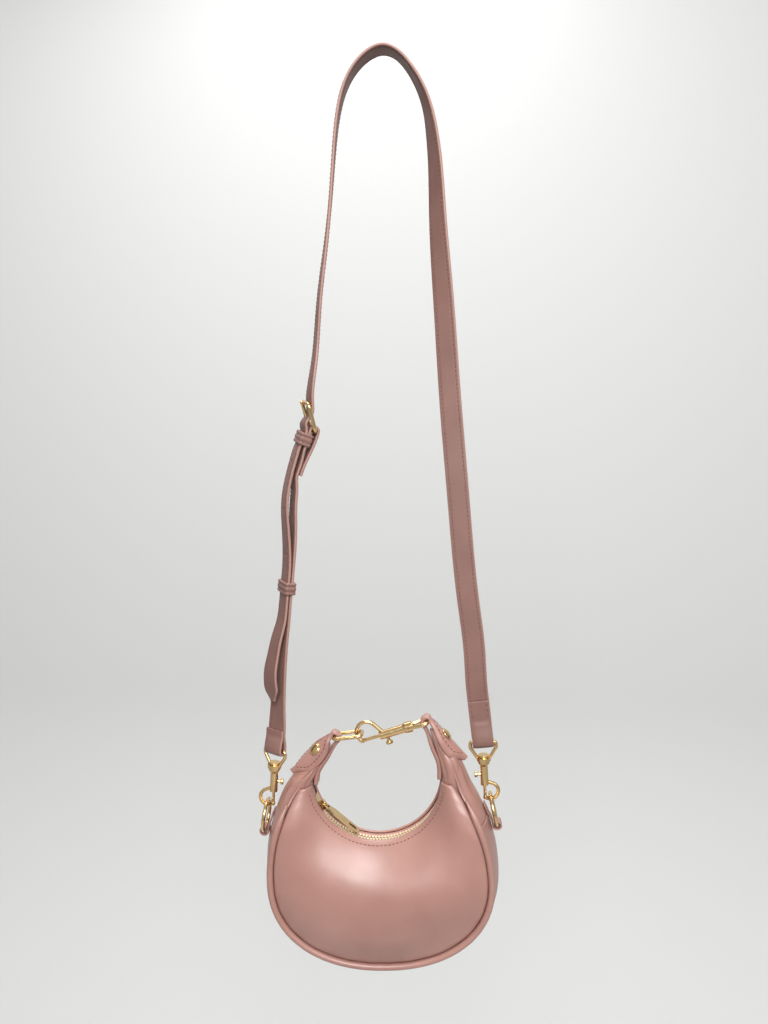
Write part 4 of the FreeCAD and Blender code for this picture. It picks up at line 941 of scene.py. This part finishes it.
def foldedEnd(bar, inner, run, front, length, sewnFrom):
    # middle line of a strap end doubled round a bar, from the cut end on the front side: the flap,
    # half a circle, and two points on the other side
    n = squareTo(run, front)
    middle, near = inner + strap["thick"] / 2, strap["foldGap"] + strap["thick"] / 2
    turn = np.radians(np.arange(0, 181, 20))[:, None]
    flap = bar + n * near + run * np.array([[length], [(length + sewnFrom) / 2], [sewnFrom]])
    arc = bar + (n * np.cos(turn) - run * np.sin(turn)) * middle
    return np.concatenate([flap, arc, bar - n * near + run * np.array([[sewnFrom], [length]])]), n


def makeStrap(name, path, across, width, node, rows, puff):
    # flat ribbon along a path: both faces slightly crowned, with a groove for each stitch row
    run = tangents(path)
    across = squareTo(run, across)
    normal = np.cross(run, across)
    along = runAlong(path)
    k = acrossShares(strap["across"])
    width = np.broadcast_to(width, len(path))[:, None]
    half = (width / 2 - strap["rim"])[:, None]
    grooves = ridges((1 - np.abs(k)) * half + strap["rim"], strap["groove"])
    rise = strap["thick"] / 2 - strap["crown"] * k ** 4 + grooves
    # a fold that isn't sewn down swells a little on its outer face
    first, last, high, face = puff
    swell = (high * ease((along - first) / 4) * ease((last - along) / 5))[:, None, None] * (1 - k ** 4)
    middle = path[:, None] + across[:, None] * k * half
    outer = middle + normal[:, None] * (rise + swell * (face > 0))
    inner = middle - normal[:, None] * (rise + swell * (face < 0))
    rings = sheetRings(outer, inner)
    piece = loftPiece(name, rings, strapLeather, "strap", shade=edgeMix(rings, 1.0), standsFor=[node],
                      slotName="strap_leather")
    for number, (first, last) in enumerate(rows):
        span = slice(*np.searchsorted(along, (first, last)))
        for face, faceName in ((-1, "a"), (1, "b")):
            for edge, edgeName in ((-1, "a"), (1, "b")):
                line = path + across * (width / 2 - strap["stitchFrom"]) * edge
                line = line + normal * face * (strap["thick"] / 2 - 0.1)
                stitchRow(f"{name}Stitches{number}{faceName}{edgeName}", line[span],
                          (normal * face)[span], "strap")
    return piece


def cutHoles(piece, tools):
    # takes the tools out of a finished piece
    for tool in tools:
        cut = piece.modifiers.new("hole", "BOOLEAN")
        cut.object = tool
        cut.solver = "EXACT"
    bpy.context.view_layer.update()
    cutMesh = bpy.data.meshes.new_from_object(piece.evaluated_get(bpy.context.evaluated_depsgraph_get()))
    piece.modifiers.clear()
    piece.data = cutMesh
    for tool in tools:
        bpy.data.objects.remove(tool)


def addDrill(rings):
    return addObject("drill", addMesh("drill", rings, loftFaces(*rings.shape[:2]), smooth=False))


def roundDrill(centre, along, radius, length):
    path = centre + np.outer((-0.5, 0.5), along * length)
    sideways = unit(np.cross(along, [0.3, 0.2, 1.0]))
    return addDrill(tubeRings(path, np.stack([sideways, sideways]), radius, 20))


def boxDrill(centre, along, length, *sides):
    # the sides of its section are vectors
    path = centre + np.outer((-0.5, 0.5), along * length)
    a, b = np.array(sides) / 2
    return addDrill(np.stack([path - a - b, path + a - b, path + a + b, path - a + b], 1))


thick = strap["thick"]
heelBar = np.array(strap["heelBar"], float)
shortRun = unit(strap["shortEnd"] - heelBar)
buckleAcross = squareTo(shortRun, acrossAt(np.array([[-1.0, 0, -240.0]]))[0])
buckleLean = squareTo(buckleAcross, np.array(strap["buckleLean"]))
buckleOut = facing(np.array([-1, 0, 0]), np.cross(buckleLean, buckleAcross))
shortOut = facing(np.array([-1, 0, 0]), np.cross(buckleAcross, shortRun))
farBar = heelBar + buckleLean * strap["bucklePitch"]
tailOut = strap["buckleWire"] / 2 + 1.5 * thick + 2 * strap["layerGap"] + 0.3
slideClear = strap["buckleWire"] / 2 + thick / 2 + 2 * strap["layerGap"]


def byHeel(along, out):
    return heelBar + shortRun * along + shortOut * out


def leftRun():
    # down the left side, through the buckle, then the loose tail that lies outside the short strap
    upper = [(-18.6, 0, -9.8), (-25.8, 0, -21.8), (-30.4, 0, -37.5), (-33.7, 0, -63), (-36.6, 0, -97),
             (-40.4, 0, -130), (-44.9, 0, -165), (-48.6, 0, -206)]
    inner = farBar - buckleOut * slideClear
    through = [inner + (1.2, 0, 12), inner + (0.3, 0, 3), inner - buckleLean * 1.5,
               heelBar + buckleLean * (0.56 * strap["bucklePitch"]) - buckleOut * 0.6,
               heelBar + buckleLean * 5.5 + buckleOut * (tailOut - 0.9),
               byHeel(1, tailOut), byHeel(12, tailOut), byHeel(22, tailOut)]
    tail = [np.array([x, 0, z]) + outwardAt(z) * layers * (thick + strap["layerGap"])
            for (x, z), layers in zip(strap["shortLine"][1:], strap["tailLayers"])]
    free = [(-80.4, -4.4, -420), (-82.4, -5.4, -433), (-81.9, -5.2, -444), (-80.6, -4.6, -453.4)]
    return np.array([*upper, *through, *tail, *free], float)


def makeLongStrap():
    # from the right snap hook over the top, down through the buckle, and its loose tail
    bar, up = jointPlace("eye_right_swing"), jointAxis("hook_right_swivel")
    turn = math.radians(strap["rightLean"])
    run = np.array([up[0] * math.cos(turn) - up[2] * math.sin(turn), 0,
                    up[2] * math.cos(turn) + up[0] * math.sin(turn)])
    inner = strap["hookWire"] / 2 + strap["eyeSlack"] + strap["layerGap"]
    fold, n = foldedEnd(bar, inner, run, -bagY, strap["flap"], 13)
    right = [fold[-1] + run * 8, (66.2, 0.9, -414), (61.3, 0.3, -377), (53.8, 0, -305), (47.3, 0, -234),
             (41.8, 0, -162), (37.6, 0, -108), (35.3, 0, -70), (33.1, 0, -52), (29.8, 0, -36), (24.3, 0, -22),
             (16.6, 0, -9.8), (8.5, 0, -1.8), (0, 0, thick / 2), (-9.5, 0, -1.8)]
    path = np.concatenate([fold, right, leftRun()])
    across = acrossAt(path)
    across[:len(fold)] = unit(np.cross(run, n))
    at, path, across = evenSplines(strap["longAlong"], path, sameWay(across))
    across, left = unit(across), path[:, 0] < 0
    tip = ease((strap["tailTip"] - path[:, 2]) / strap["tipLength"])
    width = strap["width"] * np.where(left, 1 - strap["tipNarrow"] * tip ** 1.5, 1.0)
    ahead = np.sign(np.cross(path[1] - path[0], across[0]) @ n)
    piece = makeStrap("longStrap", path, across, width, "strap_long",
                      [(0.8, strap["sewnEnd"]), (strap["flap"] * 2 + 6, at[-1] - 18)],
                      (strap["sewnEnd"] + 1, strap["flap"] + 4, strap["longPuff"], ahead))
    # the tongue's slot, and punched holes either side of it
    tongueTip = farBar + buckleOut * (strap["buckleWire"] / 2 + 1.3) + buckleLean * 1.2
    tongue = unit(tongueTip - heelBar)
    wide, long, deep = strap["slot"]
    drills = [boxDrill(heelBar + tongue * (strap["slotAt"] * strap["bucklePitch"]),
                       unit(np.cross(tongue, buckleAcross)), deep, buckleAcross * wide, tongue * long)]
    down = np.flatnonzero(left & (path[:, 2] < -150) & (path[:, 2] > -450))
    for number in strap["holes"]:
        height = heelBar[2] + strap["holesAbove"] - number * strap["holePitch"]
        k = down[np.argmin(np.abs(path[down, 2] - height))]
        square = unit(np.cross(path[k + 1] - path[k], across[k]))
        drills.append(roundDrill(path[k], square, strap["holeRadius"], strap["holeDeep"]))
    cutHoles(piece, drills)


def makeShortStrap():
    # from the buckle's heel bar down to the left snap hook, doubled round both
    inner = strap["buckleWire"] / 2 + strap["layerGap"]
    fold, n = foldedEnd(heelBar, inner, shortRun, -shortOut, strap["heelFlap"], strap["heelSewnFrom"])
    bar, up = jointPlace("eye_left_swing"), jointAxis("hook_left_swivel")
    flap = strap["flap"] * 0.5
    end, m = foldedEnd(bar, strap["hookWire"] / 2 + strap["layerGap"], up, outwardAt(-480.0), flap, 11)
    line = [(x, 0, z) for x, z in strap["shortLine"]]
    path = np.concatenate([fold, line, [end[-1] + up * 7], end[::-1]])
    across = acrossAt(path)
    across[:len(fold)] = unit(np.cross(shortRun, n))
    across[-len(end):] = unit(np.cross(up, m))
    at, path, across = evenSplines(strap["shortAlong"], path, sameWay(across))
    across, total = unit(across), at[-1]
    ahead = np.sign(np.cross(path[-1] - path[-2], across[-1]) @ m)
    piece = makeStrap("shortStrap", path, across, strap["width"], "strap_short",
                      [(1, strap["heelFlap"] - 5), (strap["heelFlap"] * 2 + 2, total - strap["flap"] - 4)],
                      (total - flap - 4, total - 4, strap["shortPuff"], ahead))
    wide, long, deep = strap["heelSlot"]
    cutHoles(piece, [boxDrill(heelBar, shortRun, long, buckleAcross * wide, shortOut * deep)])


makeLongStrap()
makeShortStrap()
print("straps made")


# keepers

keeper = {
    "high": 9.2, "thick": 1.3, "clear": 0.35, "corner": 1.5, "along": 96, "across": 32, "rim": 0.65,
    # rolled rims and a raised cord between two stitched grooves
    "edge": [(0.25, 0.8, 0.7), (-0.3, 2.3, 0.55), (0.3, 4.6, 0.9)],
    "edgeMix": 0.8, "stitchFrom": 2.3, "stitchDeep": 0.3, "sunk": 0.1, "slack": 0.25,
    "stitches": dict(stitching, length=1.9, pitch=2.7, thick=0.5),
    # along the short strap from the heel bar, and where the sliding one rests
    "fixedAt": 7.6, "slidingAt": (-69.1, 0, -369.0),
}


def makeKeeper(name, node, body, centre, out, run, depth):
    # band round the straps: a rounded rectangle of points carried along the strap's run
    across = unit(np.cross(run, out))
    corner = keeper["corner"] + keeper["thick"] * 0.3
    turn = np.radians(np.arange(0, 91, 15))
    quarter = np.stack([np.cos(turn), np.sin(turn)], -1) * corner
    middle = np.array([depth / 2, strap["width"] / 2 + keeper["clear"]]) + keeper["thick"] - corner
    loop = np.concatenate([quarter + middle, (quarter[::-1] + middle) * (-1, 1),
                           -quarter - middle, (quarter[::-1] + middle) * (1, -1)])
    closed = np.vstack([loop, loop[:1]])
    marks = runAlong(closed)
    at = np.linspace(0, marks[-1], keeper["along"], endpoint=False)
    loop = np.stack([np.interp(at, marks, column) for column in closed.T], -1)
    normal = unit(np.roll(loop, -1, 0) - np.roll(loop, 1, 0)) @ np.array([[0, -1], [1, 0]])
    face, away = centre + loop @ np.stack([out, across]), normal @ np.stack([out, across])
    k = acrossShares(keeper["across"])
    rise = ridges((1 - np.abs(k)) * keeper["high"] / 2, keeper["edge"])
    aside = run * k * (keeper["high"] / 2 - keeper["rim"])
    outer = face[:, None] + aside + away[:, None] * (rise - keeper["sunk"])
    inner = outer - away[:, None] * (keeper["thick"] - keeper["slack"] + rise)
    rings = sheetRings(outer, inner)
    loftPiece(name, rings, strapLeather, body, looped=True, shade=edgeMix(rings, keeper["edgeMix"]),
              standsFor=[node], slotName="strap_leather")
    rows = face - away * keeper["stitchDeep"]
    for side, rowName in ((-1, "a"), (1, "b")):
        line = rows + run * side * (keeper["high"] / 2 - keeper["stitchFrom"])
        stitchRow(name + "Stitches" + rowName, np.vstack([line, line[:1]]), np.vstack([away, away[:1]]), body,
                  keeper["stitches"])


fixedFace = tailOut + thick / 2 + keeper["clear"]
makeKeeper("fixedKeeper", "keeper_fixed", "strap",
           byHeel(keeper["fixedAt"], (fixedFace + keeper["thick"] / 2) / 2), shortOut, shortRun,
           fixedFace - keeper["thick"] / 2)
slideRun = jointAxis("keeper_slide")
slideOut = squareTo(slideRun, outwardAt(keeper["slidingAt"][2]))
makeKeeper("slidingKeeper", "keeper_sliding", "keeper",
           keeper["slidingAt"] + slideOut * (thick + strap["layerGap"]) / 2, slideOut, slideRun,
           2 * thick + strap["layerGap"] + 2 * keeper["clear"])
print("keepers made")


# ring tabs

ringTab = {
    "width": 8.0, "thick": 1.3, "clear": 0.95, "rise": 3.6, "ringWire": 2.8, "across": 14, "rim": 0.6,
    "overGusset": 0.3, "groove": [(-0.2, 1.6, 0.4)], "stitchFrom": 1.6,
    "stitches": dict(stitching, length=1.7, pitch=2.5, thick=0.45),
    # angles round the ring's foot that the fold goes through, and the stretch that is stitched
    "fold": (-100, -65, -30, 5, 40, 75, 110, 145, 180, 215), "along": 90, "stitched": slice(4, 60),
}


def makeRingTab(name, side):
    # sewn down on the gusset, its lower end folded round the ring's foot
    foot = jointPlace(f"ring_{name}_lean")
    radius = (ringTab["ringWire"] + ringTab["thick"]) / 2 + ringTab["clear"]
    angle = side * (gusset["seamAngle"] + ringTab["rise"] * np.array([1, 0.6, 0.25]))
    point, normal, _, bulge = gussetStation(angle)
    sewn = fromBag(point + normal * (bulge + ringTab["overGusset"] + ringTab["thick"] / 2)[:, None])
    fold = foot + fromBag(polar(radius, side * np.array(ringTab["fold"]))) - bagCentre
    _, path = evenSplines(ringTab["along"], np.concatenate([sewn, fold]))
    normal = np.cross(tangents(path), bagY) * side
    k = acrossShares(ringTab["across"])
    half = ringTab["width"] / 2 - ringTab["rim"]
    rise = ringTab["thick"] / 2 + ridges((1 - np.abs(k)) * half + ringTab["rim"], ringTab["groove"])
    middle = path[:, None] + bagY * k * half
    rings = sheetRings(middle + normal[:, None] * rise, middle - normal[:, None] * ringTab["thick"] / 2)
    loftPiece("ringTab" + name.title(), rings, bagLeather, "purse", shade=np.zeros(rings.shape[:2]),
              standsFor=["ring_tab_" + name], slotName="bag_leather")
    rows = path + normal * (ringTab["thick"] / 2 - 0.1)
    for edge, rowName in ((-1, "a"), (1, "b")):
        line = rows + bagY * edge * (ringTab["width"] / 2 - ringTab["stitchFrom"])
        stitchRow(f"ringTab{name.title()}Stitches{rowName}", line[ringTab["stitched"]],
                  normal[ringTab["stitched"]], "purse", ringTab["stitches"])


makeRingTab("left", -1)
makeRingTab("right", 1)
print("ring tabs made")


# zip tapes and lining

zipTape = {"halfAngle": 77.0, "from": 3.63, "wide": 4.0, "radius": 50.6, "lift": 0.4, "thick": 0.6}


def makeTape(name, node, side):
    # a strip of a cylinder round the handle hole, a little nearer to it at its outer edge
    angle = np.linspace(-zipTape["halfAngle"], zipTape["halfAngle"], 160)[:, None]
    share = np.linspace(0, 1, 8)
    depth = side * (zipTape["from"] + zipTape["wide"] * share)
    radius = zipTape["radius"] - zipTape["lift"] * share
    rings = sheetRings(polar(radius, angle, depth), polar(radius + zipTape["thick"], angle, depth))
    loftPiece(name, fromBag(rings), wovenTape, "purse", standsFor=[node], slotName="zip_tape")


makeTape("zipTapeFront", "zip_tape_front", -1)
makeTape("zipTapeBack", "zip_tape_back", 1)

# from and to: share of the way from the mouth to the seam; the floor lies above the gusset
lining = {"halfAngle": 64.0, "inset": 2.6, "thick": 0.5, "from": 0.14, "to": 0.88, "narrower": 0.985,
          "floorInset": 4.0, "floorRise": 1.0}


def makeLining():
    # thin cloth bag inside the panels and the gusset, open along the zip: the front's skin, a flat
    # floor and the back's skin follow each other in one row of points
    angle = evenAngles(-lining["halfAngle"], lining["halfAngle"], 90)[:, None]
    radius, depth = panelSkin(angle, np.linspace(lining["from"], lining["to"], 22), [])
    k = np.linspace(-1, 1, 9)
    faces = []
    for extra in (0.0, lining["thick"]):
        out = depth * lining["narrower"] - lining["inset"] - extra
        low = seamRadius(angle) - lining["floorRise"] - extra
        floor = polar(low, angle, (out[:, -1:] - lining["floorInset"]) * k)
        front, back = polar(radius, angle, -out), polar(radius, angle, out)
        faces.append(np.concatenate([front, floor, back[:, ::-1]], axis=1))
    loftPiece("innerLining", fromBag(sheetRings(*faces)), liningCloth, "purse", standsFor=["lining"],
              slotName="lining")


makeLining()
print("zip tapes and lining made")


# metal pieces keep their own meshes and get their finish

for name, node in frame["nodes"].items():
    if node.hide_render:
        continue
    finish = "goldPlate"
    if "spring" in name:
        finish = "springSteel"
    elif "teeth" in name or "stops" in name:
        finish = "paleGold"
    node.data.materials.clear()
    node.data.materials.append(metals[finish])


# floor, backdrop, light and camera

studio = {
    # a pale paper sweep: the colour that shows, its own glow, and what the floor and the wall throw back
    "backdrop": (0.50, 0.50, 0.49), "glow": 0.24, "glowColor": (1, 1, 0.98, 1),
    "floorBounce": (0.2, 0.2, 0.195), "wallBounce": (0.8, 0.8, 0.785), "bounceFrom": 100.0, "bounceTo": 700.0,
    "floorDrop": 600.0, "floorAhead": 15000.0, "wallBehind": 900.0, "wallHigh": 4500.0, "bend": 500.0,
    "halfWide": 12000.0,
    "lamps": {
        "key": {"at": (110, -1450, 550), "size": 980, "power": 39.0},
        "fill": {"at": (1070, -1180, 330), "size": 900, "power": 6.0},
        "top": {"at": (-150, 330, 850), "size": 900, "power": 14.0},
    },
    "lampsAimAt": (0, 0, -480.0),
    # the room: its strength, what shows of it, and its light from above and from below
    "room": 0.62, "haze": (1.0, 1.0, 0.98), "ceiling": (0.36, 0.37, 0.38), "underside": (0.055, 0.053, 0.052),
    "horizon": (-0.35, 0.6),                  # heights of the sky where it is darkest and lightest
    "camera": (38.98, -547.66, -260.81), "pitch": -5.5, "yaw": 4.0, "lens": 27.07,
}


def addSeen(tree):
    # 1 for what the camera sees, also mirrored in metal or through glass, and 0 for light thrown back
    rays = addNode(tree, "LightPath").outputs
    seen = rays["Is Camera Ray"]
    for ray in ("Is Glossy Ray", "Is Transmission Ray"):
        seen = addNode(tree, "Math", {0: seen, 1: rays[ray]}, operation="MAXIMUM").outputs["Value"]
    return seen


def addHeight(tree, source, low, high):
    # 0 below one height and 1 above the other
    place = addNode(tree, "TexCoord").outputs[source]
    return addRange(tree, addNode(tree, "SeparateXYZ", {"Vector": place}).outputs["Z"], 0, 1, low, high)


def makeSweep():
    # floor that sweeps up into a wall: a flat stretch, a quarter round and an upright stretch
    floor = cadBounds[0][2] / millimetre - studio["floorDrop"]
    turn = np.linspace(0, np.pi / 2, 24)
    back, bend = studio["wallBehind"], studio["bend"]
    bent = np.stack([back - bend + bend * np.sin(turn), floor + bend - bend * np.cos(turn)], -1)
    profile = np.vstack([[-studio["floorAhead"], floor], bent, [back, floor + studio["wallHigh"]]])
    x = np.array([-studio["halfWide"], studio["halfWide"]])
    points = np.stack(np.broadcast_arrays(x, profile[:, :1], profile[:, 1:]), -1)
    k = np.arange(len(profile) - 1)[:, None] * 2
    sweep = addObject("studioSweep", addMesh("studioSweep", points, [k + np.array([0, 1, 3, 2])]))
    # evenly pale where the camera sees it; of the light it throws back, the wall gives more than the floor
    paper, tree, shader = newMaterial("studioPaper", studio["backdrop"], 0.9)
    low, high = ((floor + studio[mark]) * millimetre for mark in ("bounceFrom", "bounceTo"))
    bounce = addMix(tree, addHeight(tree, "Object", low, high), studio["floorBounce"], studio["wallBounce"])
    seen = addSeen(tree)
    setSockets(tree, shader, {"Base Color": addMix(tree, seen, bounce, studio["backdrop"]),
                              "Emission Color": studio["glowColor"],
                              "Emission Strength": addRange(tree, seen, 0, studio["glow"], 0, 1)})
    sweep.data.materials.append(paper)


def makeLamps():
    # square soft lamps turned towards the purse
    for name, lamp in studio["lamps"].items():
        data = bpy.data.lights.new(name + "Light", "AREA")
        data.size = lamp["size"] * millimetre
        data.energy = lamp["power"]
        x, y, z = np.array(studio["lampsAimAt"]) - lamp["at"]
        light = addObject(name + "Light", data)
        light.location = np.array(lamp["at"]) * millimetre
        light.rotation_euler = (math.atan2(math.hypot(x, y), -z), 0, math.atan2(x, -y) + math.pi)


def makeRoom():
    # brighter overhead than underneath, as a ceiling over a floor is
    world = bpy.data.worlds.new("softRoom")
    world.use_nodes = True
    tree = world.node_tree
    height = addHeight(tree, "Generated", *studio["horizon"])
    sky = addMix(tree, height, studio["underside"], studio["ceiling"])
    setSockets(tree, tree.nodes["Background"], {"Color": addMix(tree, addSeen(tree), sky, studio["haze"]),
                                                "Strength": studio["room"]})
    bpy.context.scene.world = world


def makeCamera():
    camera = addObject("camera", bpy.data.cameras.new("camera"))
    camera.data.lens = studio["lens"]
    camera.data.sensor_width = 36
    camera.location = np.array(studio["camera"]) * millimetre
    camera.rotation_euler = (math.radians(90 + studio["pitch"]), 0, math.radians(studio["yaw"]))
    bpy.context.scene.camera = camera


makeSweep()
makeLamps()
makeRoom()
makeCamera()
bpy.context.scene.view_settings.view_transform = "Standard"
print("studio made")
